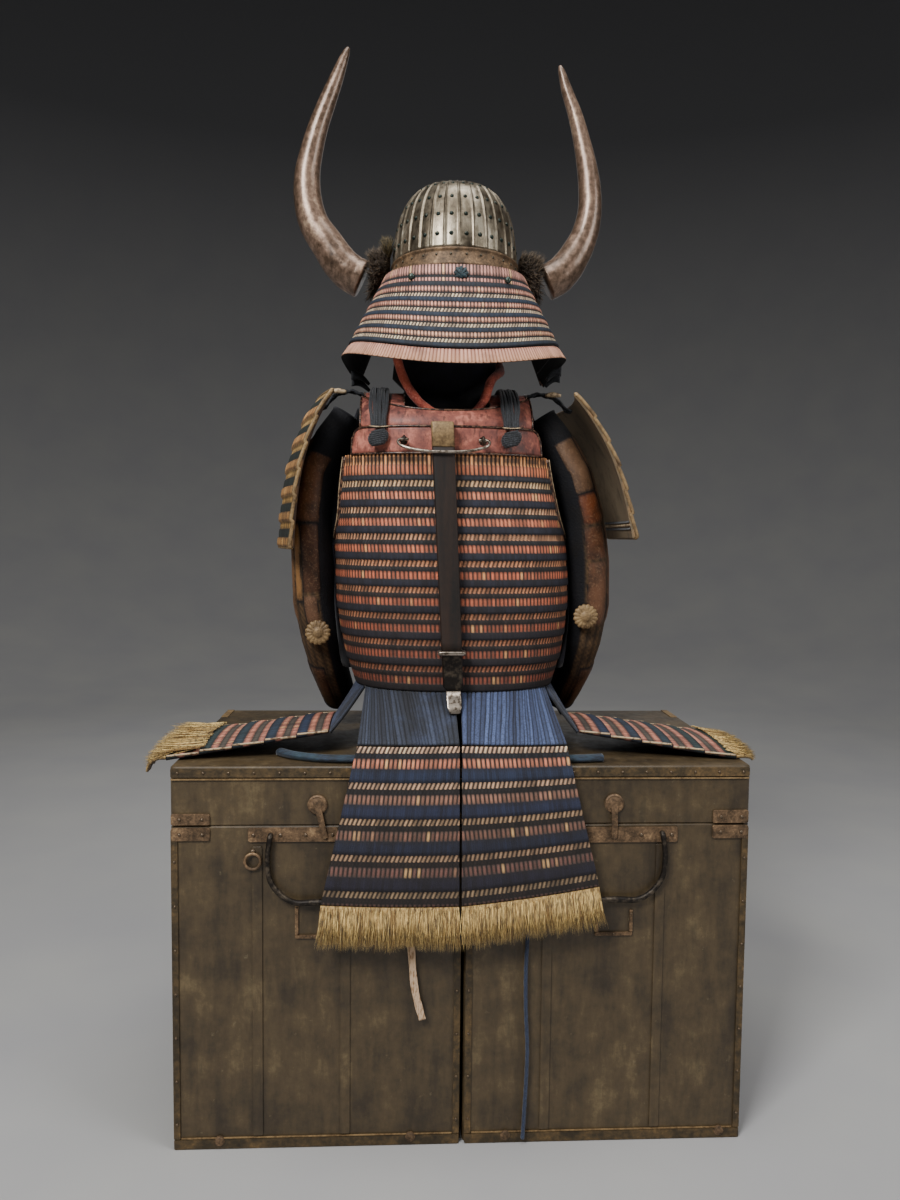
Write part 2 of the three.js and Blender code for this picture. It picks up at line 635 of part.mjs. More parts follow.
const HEM_TILT = 1.6; // the same for the upper ends of the strings, under the hem
const HEM_UNDER = CUIRASS.hem - SEAM - HEM_TILT;

function hungSurfaces(row) {
  const { face, top, bottom, low, hair } = row;
  const hang = (u, drop) => face * (TASSET.edgeY + 3 + 20 * drop + 5 * (1 - (2 * u - 1) ** 2));
  const strings = (u, v) => {
    const hem = cuirassPoint(radians(mix(row.from, row.to, u)), CUIRASS.hem);
    const end = vec(mix(top[0], top[1], u), hang(u, 0), TASSET.lameTop + SEAM + STRING_TILT);
    return hem.setZ(face < 0 ? HEM_UNDER : CUIRASS.hem - 2 * SEAM).lerp(end, v);
  };
  const lames = (u, v) => {
    const x = mix(mix(top[0], bottom[0], v), mix(top[1], bottom[1], v), u);
    const z = mix(TASSET.lameTop, mix(low[0], low[1], u), v);
    return vec(x, hang(u, v), z);
  };
  const fringe = (u, v) => {
    const root = lames(u, 1);
    const tipY = face * mix(Math.abs(root.y), TASSET.fringeEndY - 4, 0.75);
    const tip = vec(root.x * 1.02, tipY, mix(hair[0], hair[1], u));
    root.z -= SEAM;
    const ease = Math.sin((v * Math.PI) / 2);
    return vec(mix(root.x, tip.x, v), mix(root.y, tip.y, ease), mix(root.z, tip.z, v));
  };
  return { strings, lames, fringe };
}

// A side tasset lies on a chest's lid: u from its rear edge to its front edge, v outwards
function sideSurfaces(side) {
  const inner = { x: 194, z: 618, rear: -150, front: -2 };
  const outer = { x: 432, z: CHEST.top + TASSET.wall + 0.6, rear: -180, front: 8 };
  const fringe = { lift: 1.5, droop: side < 0 ? 32 : 12 };
  const ridge = (u) => 7 * (1 - (2 * u - 1) ** 2);
  const strings = (u, v) => {
    const hem = cuirassPoint(side * radians(mix(64, 104, u)), CUIRASS.hem);
    const innerX = inner.x - SEAM - STRING_TILT;
    const end = vec(side * innerX, mix(inner.rear, inner.front, u), inner.z - 1.6 + ridge(u));
    return hem.setZ(HEM_UNDER).lerp(end, v);
  };
  const lames = (u, v) => {
    const y = mix(mix(inner.rear, outer.rear, v), mix(inner.front, outer.front, v), u);
    return vec(side * mix(inner.x, outer.x, v), y, mix(inner.z, outer.z, v) + ridge(u));
  };
  const hair = (u, v) => {
    const root = lames(u, 1);
    const reach = SIDE_REACH - 3 - outer.x - SEAM;
    const out = outer.x + SEAM + reach * Math.sin((v * Math.PI) / 2);
    const middleY = (outer.rear + outer.front) / 2;
    return vec(side * out, mix(root.y, middleY, 0.22 * v), root.z + fringe.lift - fringe.droop * v * v);
  };
  return { strings, lames, fringe: hair };
}

// Strings side by side show as flutes; a fringe's locks end unevenly
function stringPanel(surface, count, side) {
  const columns = count * 2;
  const relief = (u, v, column) => (column % 2 ? TASSET.relief : 0.4);
  return sheet(steps(columns), steps(1), surface, { thick: 2.5, side, relief });
}
function hairPanel(surface, locks, side) {
  const uneven = (column) => (column % 2 ? 1 : 0.9 + 0.03 * (column % 3));
  const locked = (u, v) => surface(u, v * uneven(Math.round(u * locks * 2)));
  const relief = (u, v, column) => (column % 2 ? 3 : 1.2) * (1 - 0.5 * v);
  return sheet(steps(locks * 2), [0, 0.5, 1], locked, { thick: 3.5, side, relief });
}
// A front tasset is one sheet: its strings above, its laced lames below
function frontTasset({ strings, lames }, make) {
  const stringShare = 0.3;
  const surface = (u, v) => (v < stringShare ? strings(u, v / stringShare)
    : lames(u, (v - stringShare) / (1 - stringShare)));
  const rows = lameRows(TASSET.lames).map((row) => ({ v: mix(stringShare, 1, row.v), raised: row.raised }));
  const stringRows = [{ v: 0, raised: 0.15 }, { v: stringShare / 2, raised: 0.15 }];
  return rowPanel(steps(3), [...stringRows, ...rows], surface, make);
}
function addTassets() {
  const make = { thick: TASSET.wall, height: TASSET.relief };
  for (const row of HUNG_TASSETS) {
    const surfaces = hungSurfaces(row);
    const rear = row.face < 0;
    const side = rear ? -1 : 1;
    if (rear) {
      const panel = lacedPanel(steps(4), TASSET.lames, surfaces.lames, { ...make, side });
      add(`tasset_${row.name}`, 'lacing', panel);
      add(`strings_${row.name}`, 'strings', stringPanel(surfaces.strings, 12, side));
    } else {
      add(`tasset_${row.name}`, 'lacing', frontTasset(surfaces, { ...make, side }));
    }
    add(`fringe_${row.name}`, 'hair', hairPanel(surfaces.fringe, rear ? 8 : 4, side));
  }
  for (const [name, side] of [['side_left', -1], ['side_right', 1]]) {
    const surfaces = sideSurfaces(side);
    const panel = lacedPanel(steps(4), TASSET.lames, surfaces.lames, { ...make, side: -side });
    add(`tasset_${name}`, 'lacing', panel);
    add(`strings_${name}`, 'strings', stringPanel(surfaces.strings, 10, -side));
    add(`fringe_${name}`, 'hair', hairPanel(surfaces.fringe, 7, -side));
  }
}

// Sleeves: hollow cloth tubes with splints raised on their outer side
function sleeveRow(side, row) {
  const out = cuirassAt(row.z, 'halfWidth') + CUIRASS.relief + row.clear + row.across;
  return { ...row, middle: vec(cuirassAt(row.z, 'middleX') + side * out, row.y, row.z) };
}
function addSleeves() {
  const angles = steps(SLEEVE.columns).slice(0, -1);
  for (const [name, side] of [['left', -1], ['right', 1]]) {
    const rows = SLEEVE_SECTIONS.map((row) => sleeveRow(side, row));
    const surface = (u, v) => {
      const place = v * (rows.length - 1);
      const i = Math.min(Math.max(Math.floor(place), 0), rows.length - 2);
      const [from, to, t] = [rows[i], rows[i + 1], place - i];
      const value = (key) => mix(from[key], to[key], t);
      const heading = (j) => {
        const [a, b] = [rows[Math.max(j - 1, 0)], rows[Math.min(j + 1, rows.length - 1)]];
        return b.middle.clone().sub(a.middle).normalize();
      };
      const tangent = heading(i).lerp(heading(i + 1), t).normalize();
      const across = vec(0, 1, 0).cross(tangent).normalize().multiplyScalar(-side);
      const along = across.clone().cross(tangent).normalize();
      const [x, y] = oval(2 * Math.PI * u, value('across'), value('along'), 2.2);
      const middle = from.middle.clone().lerp(to.middle, t);
      return middle.addScaledVector(across, x).addScaledVector(along, y);
    };
    const splint = (u, v, column) => (u > 0.02 && u < 0.48 && column % 3 ? SLEEVE.splint : 0);
    add(`sleeve_${name}`, 'sleeve', sheet(angles, steps(rows.length - 1), surface, {
      thick: SLEEVE.wall, side: 1, relief: splint, wrapped: true,
    }));
    addRosette(name, rows);
  }
}
function addRosette(name, rows) {
  const [radius, petals] = [21, 16];
  const z = name === 'left' ? 760 : 789;
  const halfAlong = read(rows, 'z', z, 'along');
  const x = { left: -219, right: 218 }[name];
  const standOff = { left: 6.2, right: 4.9 }[name];
  const rearY = read(rows, 'z', z, 'y') - halfAlong - SLEEVE.splint - standOff;
  const ring = (share, out) => Array.from({ length: petals * 2 }, (_, k) => {
    const angle = (Math.PI * k) / petals;
    const reach = radius * share * (k % 2 ? 1 : 0.9);
    const petal = k % 2 ? 1.2 * share : 0;
    return vec(x + reach * Math.cos(angle), rearY - out - petal, z + reach * Math.sin(angle));
  });
  const flat = ring(1, 0).map((p) => vec(p.x, rearY, p.z));
  add(`elbow_rosette_${name}`, 'brass', loft([flat, ring(1, 2), ring(0.4, 7)]));
}

// Shoulder guards: curved boards of laced lames beside the upper arms
const GUARDS = {
  left: { side: -1, toggleGap: 4.2, topX: 206, bottomX: 268, bottom: 898, splay: 42, bow: 19 },
  right: { side: 1, toggleGap: 5.5, topX: 182, bottomX: 280, bottom: 918, splay: 12, bow: 20 },
};
function guardPoint({ side, topX, bottomX, bottom, splay, bow }, u, v) {
  const crown = 12;
  const out = mix(topX, bottomX, v) + bow * Math.sin(Math.PI * v ** 0.8) + crown * (1 - (2 * u - 1) ** 2);
  const x = out + GUARD.wall + splay * (u - 0.5);
  return vec(side * x, mix(GUARD.rearY, GUARD.frontY, u), mix(GUARD.top, bottom, v));
}
function addGuards() {
  for (const [name, guard] of Object.entries(GUARDS)) {
    const make = { thick: GUARD.wall, side: -guard.side, height: GUARD.relief };
    const surface = (u, v) => guardPoint(guard, u, v);
    add(`shoulder_guard_${name}`, 'guard', lacedPanel(steps(4), GUARD.lames, surface, make));
    // The toggle cord runs from the strap's outer edge to the guard's upper inner face
    const strapEdge = strapMiddle(guard.side) + guard.side * (STRAP.width / 2 + SEAM + 2);
    const seat = guardPoint(guard, 0.5, 0.05);
    const guardFace = seat.x - guard.side * (2 * GUARD.wall + SEAM + guard.toggleGap);
    const path = smooth([
      vec(strapEdge, -14, 1147),
      vec(mix(strapEdge, guardFace, 0.3), -18, 1153),
      vec(mix(strapEdge, guardFace, 0.65), -20, 1146),
      vec(guardFace - guard.side * 5, seat.y, seat.z + 1),
      vec(guardFace, seat.y, seat.z),
    ], 8);
    add(`guard_toggle_${name}`, 'cord', sweep(path, () => [6, 9], { sides: 6 }));
  }
}

// Helmet
function helmetOval(angle, halfWidth, halfDepth, z) {
  const [x, y] = oval(angle, halfWidth, halfDepth, 2.1);
  return vec(HELMET.middleX + x, HELMET.middleY + y, z);
}
function addHelmet() {
  const plates = 22;
  const around = steps(plates * 2).slice(0, -1);
  const bowlTop = BOWL_SECTIONS.at(-1).z;
  const bowlBottom = BOWL_SECTIONS[0].z;
  const bowlRows = BOWL_SECTIONS.map((row) => (row.z - bowlBottom) / (bowlTop - bowlBottom));
  add('helmet_bowl', 'iron', sheet(around, bowlRows, (u, v) => {
    const z = mix(bowlBottom, bowlTop, v);
    const at = (name) => read(BOWL_SECTIONS, 'z', z, name);
    return helmetOval(2 * Math.PI * u, at('halfWidth'), at('halfDepth'), z);
  }, { thick: HELMET.wall, side: 1, relief: (u, v, column) => (column % 2 ? 0 : 1.6), wrapped: true }));
  const band = { topWidth: 100, topDepth: 120, bottomWidth: 105, bottomDepth: 127 };
  const ringSteps = steps(24).slice(0, -1);
  add('helmet_band', 'darkIron', sheet(ringSteps, [0, 0.12, 0.2, 1], (u, v) => helmetOval(
    2 * Math.PI * u,
    mix(band.topWidth, band.bottomWidth, v),
    mix(band.topDepth, band.bottomDepth, v),
    mix(HELMET.bandTop, HELMET.bandBottom, v),
  ), { thick: HELMET.wall, side: -1, relief: (u, v) => (v < 0.15 ? 3 : 0), wrapped: true }));
  // The visor is a short curved peak over the brow
  add('visor', 'darkIron', sheet(steps(12), steps(2), (u, v) => {
    const angle = Math.PI + radians(58) * (2 * u - 1);
    const out = 1.3 + 36 * v * Math.sin(Math.PI * mix(0.12, 0.88, u));
    return helmetOval(angle, band.bottomWidth + out, band.bottomDepth + out, 1330 - 14 * v);
  }, { thick: 2.5, side: -1 }));
}

// Neck guard: laced lames that flare down and out behind the neck
function neckGuardPoint(u, v) {
  const angle = radians(NECK_GUARD.endAngle) * (2 * u - 1);
  const sideways = Math.sin(Math.min(Math.abs(angle), Math.PI / 2)) ** 2;
  const beyond = (Math.max(Math.abs(angle) - Math.PI / 2, 0) / radians(NECK_GUARD.endAngle - 90)) ** 2;
  const topZ = 1321 + 9 * sideways - 4 * beyond;
  const bottomZ = 1171 + 36 * sideways - 26 * beyond;
  const [halfWidth, halfDepth] = [mix(112, 178, v), mix(132, 171, v)];
  return helmetOval(angle, halfWidth, halfDepth, mix(topZ, bottomZ, v));
}
function addNeckGuard() {
  const split = 1 - NECK_GUARD.bottomLameShare;
  const upper = (u, v) => neckGuardPoint(u, v * split);
  add('neck_guard', 'lacing', lacedPanel(steps(14), NECK_GUARD.lames, upper, {
    thick: NECK_GUARD.wall, side: -1, height: NECK_GUARD.relief,
  }));
  const flare = 3;
  add('neck_guard_bottom_lame', 'lacquer', sheet(steps(36), [0, 1], (u, v) => {
    const point = neckGuardPoint(u, mix(split, 1, v));
    const out = vec(point.x - HELMET.middleX, point.y - HELMET.middleY, 0).normalize();
    return point.addScaledVector(out, flare * v).add(vec(0, 0, -4 * SEAM));
  }, { thick: NECK_GUARD.wall, side: -1, relief: (u, v, column) => (column % 2 ? 1.6 : 0) }));
}

// Horns and the fur round their roots
function addHorns() {
  for (const [name, side, rows] of [['left', -1, HORN_LEFT], ['right', 1, HORN_RIGHT]]) {
    const path = rows.map((row) => vec(row.x, HELMET.middleY, row.z));
    const radii = (_, i) => [rows[i].radius, rows[i].radius];
    add(`horn_${name}`, 'horn', sweep(path, radii, { sides: 10 }));
    const bandSide = HELMET.middleX + side * 104.4;
    const hornFoot = rows[0].x - side * (rows[0].radius * 0.44 + SEAM);
    const tuft = [
      { x: bandSide, z: 1352, radius: 17 },
      { x: mix(bandSide, hornFoot, 0.35), z: 1350, radius: 21 },
      { x: mix(bandSide, hornFoot, 0.7), z: 1343, radius: 29 },
      { x: hornFoot, z: 1336, radius: 31 },
    ];
    const ring = ({ x, z, radius }, i) => Array.from({ length: 14 }, (_, k) => {
      const angle = (2 * Math.PI * (k + i * 0.5)) / 14;
      const lock = k % 2 ? 1.1 : 0.88;
      return vec(x, HELMET.middleY + radius * lock * Math.cos(angle), z + radius * lock * Math.sin(angle));
    });
    add(`fur_tuft_${name}`, 'fur', loft(tuft.map(ring)));
  }
}

// Sash of blue cords that lies on the lids, from under one side tasset to the other side
const SASH_HEIGHT = CHEST.top + 6.1;
const SASH_ROUTE = [
  vec(-268, -148, SASH_HEIGHT), vec(-243, -170, SASH_HEIGHT), vec(-200, -189, SASH_HEIGHT),
  vec(-148, -194, SASH_HEIGHT), vec(-80, -187, SASH_HEIGHT), vec(0, -182, SASH_HEIGHT),
  vec(80, -187, SASH_HEIGHT), vec(140, -194, SASH_HEIGHT), vec(180, -195, SASH_HEIGHT),
  vec(222, -190, SASH_HEIGHT),
];

// Padded cord that hangs from the helmet behind the neck, and the ties at the waist
const HELMET_CORD_ROUTE = [
  vec(-93, -62, 1323), vec(-93, -62.5, 1310), vec(-97, -80, 1270), vec(-95, -98, 1220), vec(-90, -104, 1182),
  vec(-72, -107, 1142), vec(-45, -109, 1114), vec(-12, -110, 1101), vec(20, -108, 1104),
  vec(42, -99, 1128), vec(55, -84, 1162), vec(69, -48, 1180), vec(78, -4, 1192),
  vec(77, 38, 1216), vec(67, 72, 1250), vec(60, 76, 1310), vec(60, 75.6, 1323),
];
const CREAM_ROUTE = [
  vec(-40, -132.3, 690), vec(-40, -132, 676), vec(-41, -133, 664), vec(-44, -146, 647),
  vec(-50, -185, 616), vec(-56, -212, 594),
  vec(-60, -222, 578), vec(-62, -224.5, 550), vec(-64, -225, 500), vec(-66, -225, 440),
  vec(-66, -225, 380), vec(-66, -226, 330), vec(-64, -226, 290), vec(-60, -226, 250),
  vec(-54, -226, 222), vec(-48, -226, 200),
];
const BLUE_ROUTE = [
  vec(95.5, -115, 690), vec(95.5, -115, 676), vec(96.5, -119, 664), vec(98, -140, 647),
  vec(102, -180, 616), vec(105, -208, 594),
  vec(107, -220, 578), vec(108, -223, 550), vec(109, -224, 480), vec(109, -224, 400),
  vec(108, -224, 330), vec(106, -224, 270), vec(107, -224, 210), vec(110, -224, 150),
  vec(109, -224, 100), vec(107, -224, 55), vec(105, -224, 10),
];
function addCords() {
  const round = (name, finish, route, count, radius, reference) => {
    const path = smooth(route, count);
    add(name, finish, sweep(path, () => [radius, radius], { sides: 8, reference }));
  };
  round('helmet_cord', 'salmon', HELMET_CORD_ROUTE, 26, 7, vec(0, 1, 0));
  round('tie_blue', 'strings', BLUE_ROUTE, 32, 3, vec(1, 0, 0));
  const sash = sweep(smooth(SASH_ROUTE, 16), () => [8, 6], { sides: 8, reference: vec(0, 0, 1) });
  add('waist_sash', 'strings', sash);
  const ribbon = smooth(CREAM_ROUTE, 22);
  add('tie_cream', 'cream', sweep(ribbon, () => [1, 5.5], { sides: 8, reference: vec(1, 0, 0), power: 3 }));
}

addChests();
addForm();
addCuirass();
addPlates();
addStraps();
addShoulderCords();
addBackFittings();
addBail();
addTassets();
addSleeves();
addGuards();
addHelmet();
addNeckGuard();
addHorns();
addCords();

export default armour;
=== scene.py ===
import math

import bmesh
import bpy
import numpy as np
from mathutils import Matrix, Quaternion, Vector


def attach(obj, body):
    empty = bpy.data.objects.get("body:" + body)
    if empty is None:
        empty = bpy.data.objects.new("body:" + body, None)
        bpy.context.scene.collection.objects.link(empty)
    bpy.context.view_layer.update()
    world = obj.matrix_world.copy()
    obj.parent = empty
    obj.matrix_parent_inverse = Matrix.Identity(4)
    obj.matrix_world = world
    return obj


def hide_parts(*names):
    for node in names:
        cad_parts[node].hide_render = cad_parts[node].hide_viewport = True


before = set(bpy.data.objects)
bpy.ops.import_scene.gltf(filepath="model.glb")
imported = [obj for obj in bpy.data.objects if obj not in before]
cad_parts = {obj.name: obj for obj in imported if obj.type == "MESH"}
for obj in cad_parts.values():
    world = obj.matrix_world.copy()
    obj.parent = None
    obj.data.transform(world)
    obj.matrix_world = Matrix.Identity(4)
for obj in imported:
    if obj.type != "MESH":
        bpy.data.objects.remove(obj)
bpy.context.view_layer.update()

bl_info = {
    "name": "Samurai armour",
    "version": (1, 0, 0),
    "blender": (4, 5, 0),
    "location": "3D View > Sidebar > Armour",
    "description": "Laced armour with a horned helmet on a form and two storage chests",
    "category": "Object",
}

MM = 0.001
ROOT = "root"
BAIL_BODY = "bail"
SIDES = (("left", -1), ("right", 1))
UP = (0, 0, 1)

# Sizes that the solids also use, in millimetres
CHEST = {"depth": 432, "top": 580}
MIDDLE_Y = -15
CUIRASS = {"hem": 678, "top": 1043, "wall": 4, "power": 2.3}
PLATE = {"bottom": 1043.5, "top": 1084, "half_width": 149, "wall": 3.4, "corner": 16}
COLLAR = {"neck_top": 1110, "shoulder_top": 1139, "half_width": 137, "wall": 3, "lean": 58}
STRAP = {"out": 98, "width": 62, "wall": 3}
POLE = {"top_x": -23, "bottom_x": -4, "width": 34, "thick": 18, "back": -155.5, "top": 1050, "bottom": 745}
BAIL = {"axis_y": -158, "axis_z": 1062, "left_x": -81, "right_x": 38, "wire": 2.2, "drop": 28}
TASSET = {"wall": 3, "edge_y": 222, "lame_top": 612, "fringe_end_y": 262}
SIDE_REACH = 470
SEAM = 0.4
HELMET = {"middle_x": -1, "middle_y": -20, "band_bottom": 1324, "band_top": 1351, "wall": 3}
NECK = {"end_angle": 118, "wall": 3, "split": 0.86}
GUARD = {"top": 1137, "rear_y": -136, "front_y": 100, "wall": 4}

CUIRASS_SECTIONS = [  # z, half width, half depth, middle x
    (678, 160, 126, 4), (730, 177, 131, 3), (810, 189, 134, 1), (890, 189, 135, -2),
    (950, 186, 133, -8), (1010, 181, 131, -13), (1090, 174, 128, -15),
]
ARMHOLES = [  # z, reach of the back, reach of the front, in degrees
    (905, 89.95, 89.95), (918, 80, 74), (945, 69, 56), (985, 65, 46), (1043, 61, 41),
]
BOWL_SECTIONS = [  # z, half width, half depth
    (1351.4, 99, 119), (1380, 97, 115), (1410, 92, 108), (1438, 82, 96), (1464, 60, 71), (1482, 20, 23),
]
HORN_LEFT = [  # x, z, radius
    (-151, 1333, 30), (-168, 1341, 30), (-186, 1357, 29), (-206, 1385, 27), (-228, 1418, 24.5),
    (-238, 1456, 22.5), (-239, 1494, 20.5), (-232, 1532, 18), (-222, 1569, 16), (-208, 1607, 14),
    (-193, 1645, 11), (-178, 1684, 6), (-174, 1693, 3),
]
HORN_RIGHT = [
    (149, 1334, 29), (165, 1342, 29), (181, 1357, 27.5), (197, 1381, 25), (211, 1411, 22),
    (219, 1450, 19.5), (218, 1488, 18), (212, 1526, 16), (203, 1564, 13.5), (192, 1602, 11.5),
    (178, 1639, 9), (168, 1671, 5), (166, 1677, 2.5),
]
SLEEVE_SECTIONS = [  # z, clear of the cuirass, y, half across, half along
    (1112, -42, -8, 24, 48), (1072, -24, -9, 29, 57), (1020, -4, -10, 31, 62), (950, 4, -10, 32, 64),
    (880, 2.2, -8, 33, 61), (810, 3.4, -3, 33, 55), (750, 6, 8, 31, 49), (705, 12, 30, 29, 43),
    (668, 15, 58, 27, 38), (640, 12, 88, 25, 34),
]
FORM_SECTIONS = [  # z, half width, half depth, middle x, middle y
    (580.4, 98, 68, 4, -12), (600, 98, 68, 4, -12), (960, 104, 72, -8, -12), (1080, 112, 66, -13, -10),
    (1128, 124, 56, -14, -8), (1143.5, 114, 34, -14, -10), (1144.5, 64, 36, -15, -10),
    (1158, 66, 58, -16, -10), (1176, 84, 67, -17, -11), (1240, 84, 80, -11, -15), (1300, 84, 92, -4, -19),
    (1380, 84, 98, -1, -20), (1420, 78, 90, -1, -20), (1460.6, 57, 68, -1, -20), (1478.6, 17, 20, -1, -20),
]
HUNG_TASSETS = {  # face, from, to, top x, bottom x, lowest lame z, hair end z
    "rear_left": (-1, -62, -1, (-146, 3), (-197, 3.5), (384, 380), (322, 322)),
    "rear_right": (-1, 1, 62, (7, 161), (7.5, 209), (380, 408), (322, 370)),
    "front_left": (1, 249, 204, (-152, -54), (-190, -68), (384, 384), (330, 330)),
    "front_middle": (1, 203, 157, (-50, 54), (-64, 64), (384, 384), (330, 330)),
    "front_right": (1, 156, 111, (58, 156), (68, 192), (384, 384), (330, 330)),
}
GUARDS = {  # side, top x, bottom x, bottom z, splay, bow, toggle gap
    "left": (-1, 206, 268, 898, 42, 19, 4.2),
    "right": (1, 182, 280, 918, 12, 20, 5.5),
}
HELMET_CORD_ROUTE = [
    (-93, -62, 1323), (-93, -62.5, 1310), (-97, -80, 1270), (-95, -98, 1220), (-90, -104, 1182),
    (-72, -107, 1142), (-45, -109, 1114), (-12, -110, 1101), (20, -108, 1104), (42, -99, 1128),
    (55, -84, 1162), (69, -48, 1180), (78, -4, 1192), (77, 38, 1216), (67, 72, 1250), (60, 76, 1310),
    (60, 75.6, 1323),
]
CREAM_ROUTE = [
    (-40, -132.3, 690), (-40, -132, 676), (-41, -133, 664), (-44, -146, 647), (-50, -185, 616),
    (-56, -212, 594), (-60, -222, 578), (-62, -224.5, 550), (-64, -225, 500), (-66, -225, 440),
    (-66, -225, 380), (-66, -226, 330), (-64, -226, 290), (-60, -226, 250), (-54, -226, 222), (-48, -226, 200),
]
BLUE_ROUTE = [
    (95.5, -115, 690), (95.5, -115, 676), (96.5, -119, 664), (98, -140, 647), (102, -180, 616),
    (105, -208, 594), (107, -220, 578), (108, -223, 550), (109, -224, 480), (109, -224, 400),
    (108, -224, 330), (106, -224, 270), (107, -224, 210), (110, -224, 150), (109, -224, 100),
    (107, -224, 55), (105, -224, 10),
]
SASH_Z = CHEST["top"] + 6.1
SASH_ROUTE = [
    (x, y, SASH_Z) for x, y in [
        (-268, -148), (-243, -170), (-200, -189), (-148, -194), (-80, -187), (0, -182), (80, -187),
        (140, -194), (180, -195), (222, -190),
    ]
]


# Numbers and points
def tone(code):
    """A linear colour from its everyday code."""
    parts = [int(code[i:i + 2], 16) / 255 for i in (1, 3, 5)]
    return tuple(c / 12.92 if c <= 0.04045 else ((c + 0.055) / 1.055) ** 2.4 for c in parts)


def column_at(table, place, column):
    """One column of a table at places along its first one, on a smooth line through the rows."""
    rows = np.array(table, float)
    if rows[0, 0] > rows[-1, 0]:
        rows = rows[::-1]
    keys, values = rows[:, 0], rows[:, column]
    slopes = np.empty(len(keys))
    slopes[1:-1] = (values[2:] - values[:-2]) / (keys[2:] - keys[:-2])
    slopes[0] = (values[1] - values[0]) / (keys[1] - keys[0])
    slopes[-1] = (values[-1] - values[-2]) / (keys[-1] - keys[-2])
    x = np.clip(np.asarray(place, float), keys[0], keys[-1])
    i = np.clip(np.searchsorted(keys, x, side="right") - 1, 0, len(keys) - 2)
    span = keys[i + 1] - keys[i]
    t = (x - keys[i]) / span
    bend = span * (t * (1 - t) ** 2 * slopes[i] - t * t * (1 - t) * slopes[i + 1])
    return values[i] + (values[i + 1] - values[i]) * t * t * (3 - 2 * t) + bend


def hue(code):
    return np.array(tone(code))


def mix(a, b, t):
    return a + (b - a) * t


def even(count):
    """Evenly spaced shares from 0 to 1."""
    return np.linspace(0, 1, count)


def turns(count, shift=0):
    """Angles once round."""
    return 2 * np.pi * (np.arange(count) + shift) / count


def stack(x, y, z):
    return np.stack(np.broadcast_arrays(x, y, z), -1).astype(float)


def unit(rows):
    """Directions of length 1."""
    return rows / np.linalg.norm(rows, axis=-1, keepdims=True)


def oval(angle, half_width, half_depth, power):
    def bend(s):
        return np.sign(s) * np.abs(s) ** (2 / power)
    return half_width * bend(np.sin(angle)), -half_depth * bend(np.cos(angle))


def speckle(*keys):
    """A steady random number from 0 to 1 for whole numbers."""
    total = sum(np.asarray(k, float) * f for k, f in zip(keys, (12.9898, 78.233, 37.719)))
    return np.abs(np.sin(total) * 43758.5453) % 1


def smooth_path(points, count):
    """Points on a centripetal curve through a few points."""
    pts = [Vector(p) for p in points]
    pts = [2 * pts[0] - pts[1], *pts, 2 * pts[-1] - pts[-2]]
    out = []
    pieces = len(pts) - 3
    for k in range(count + 1):
        place = min(k / count * pieces, pieces - 1e-9)
        i = int(place)
        t = place - i
        p0, p1, p2, p3 = pts[i:i + 4]
        a, b, c = [max((q - p).length, 1e-6) ** 0.5 for p, q in ((p0, p1), (p1, p2), (p2, p3))]
        m1 = (p1 - p0) / a - (p2 - p0) / (a + b) + (p2 - p1) / b
        m2 = (p2 - p1) / b - (p3 - p1) / (b + c) + (p3 - p2) / c
        m1, m2 = m1 * b, m2 * b
        out.append(p1 * (2 * t ** 3 - 3 * t * t + 1) + m1 * (t ** 3 - 2 * t * t + t)
                   + p2 * (3 * t * t - 2 * t ** 3) + m2 * (t ** 3 - t * t))
    return out


# Meshes
def add_object(name, data):
    made = bpy.data.objects.new(name, data)
    bpy.context.scene.collection.objects.link(made)
    return made


def new_mesh(name, points, faces, smooth=True):
    """A mesh whose faces point out."""
    mesh = bpy.data.meshes.new(name)
    mesh.from_pydata([tuple(p) for p in points], [], [list(f) for f in faces])
    work = bmesh.new()
    work.from_mesh(mesh)
    if work.calc_volume(signed=True) < 0:
        bmesh.ops.reverse_faces(work, faces=work.faces)
    work.to_mesh(mesh)
    work.free()
    mesh.polygons.foreach_set("use_smooth", [smooth] * len(mesh.polygons))
    return mesh


def new_piece(name, points, faces, finish, body=ROOT, tints=None, gloss=None, smooth=True):
    """One closed piece from points in millimetres."""
    mesh = new_mesh(name, np.asarray(points, float) * MM, faces, smooth)
    if tints is not None:
        data = mesh.attributes.new("tint", "FLOAT_COLOR", "POINT").data
        full = np.ones((len(points), 4))
        full[:, :3] = tints
        data.foreach_set("color", full.ravel())
    if gloss is not None:
        mesh.attributes.new("gloss", "FLOAT", "POINT").data.foreach_set("value", np.ravel(gloss))
    mesh.materials.append(finish_of(finish))
    piece = add_object(name, mesh)
    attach(piece, body)
    return piece


def dress(piece, slot, *nodes):
    """Let a piece stand for solids by hiding them; the slot is not used."""
    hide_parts(*nodes)


def normals_of(grid, side, wrapped):
    if wrapped:
        along = np.roll(grid, -1, 1) - np.roll(grid, 1, 1)
    else:
        along = np.gradient(grid, axis=1)
    normal = np.cross(along, np.gradient(grid, axis=0))
    return side * normal / np.maximum(np.linalg.norm(normal, axis=-1, keepdims=True), 1e-9)


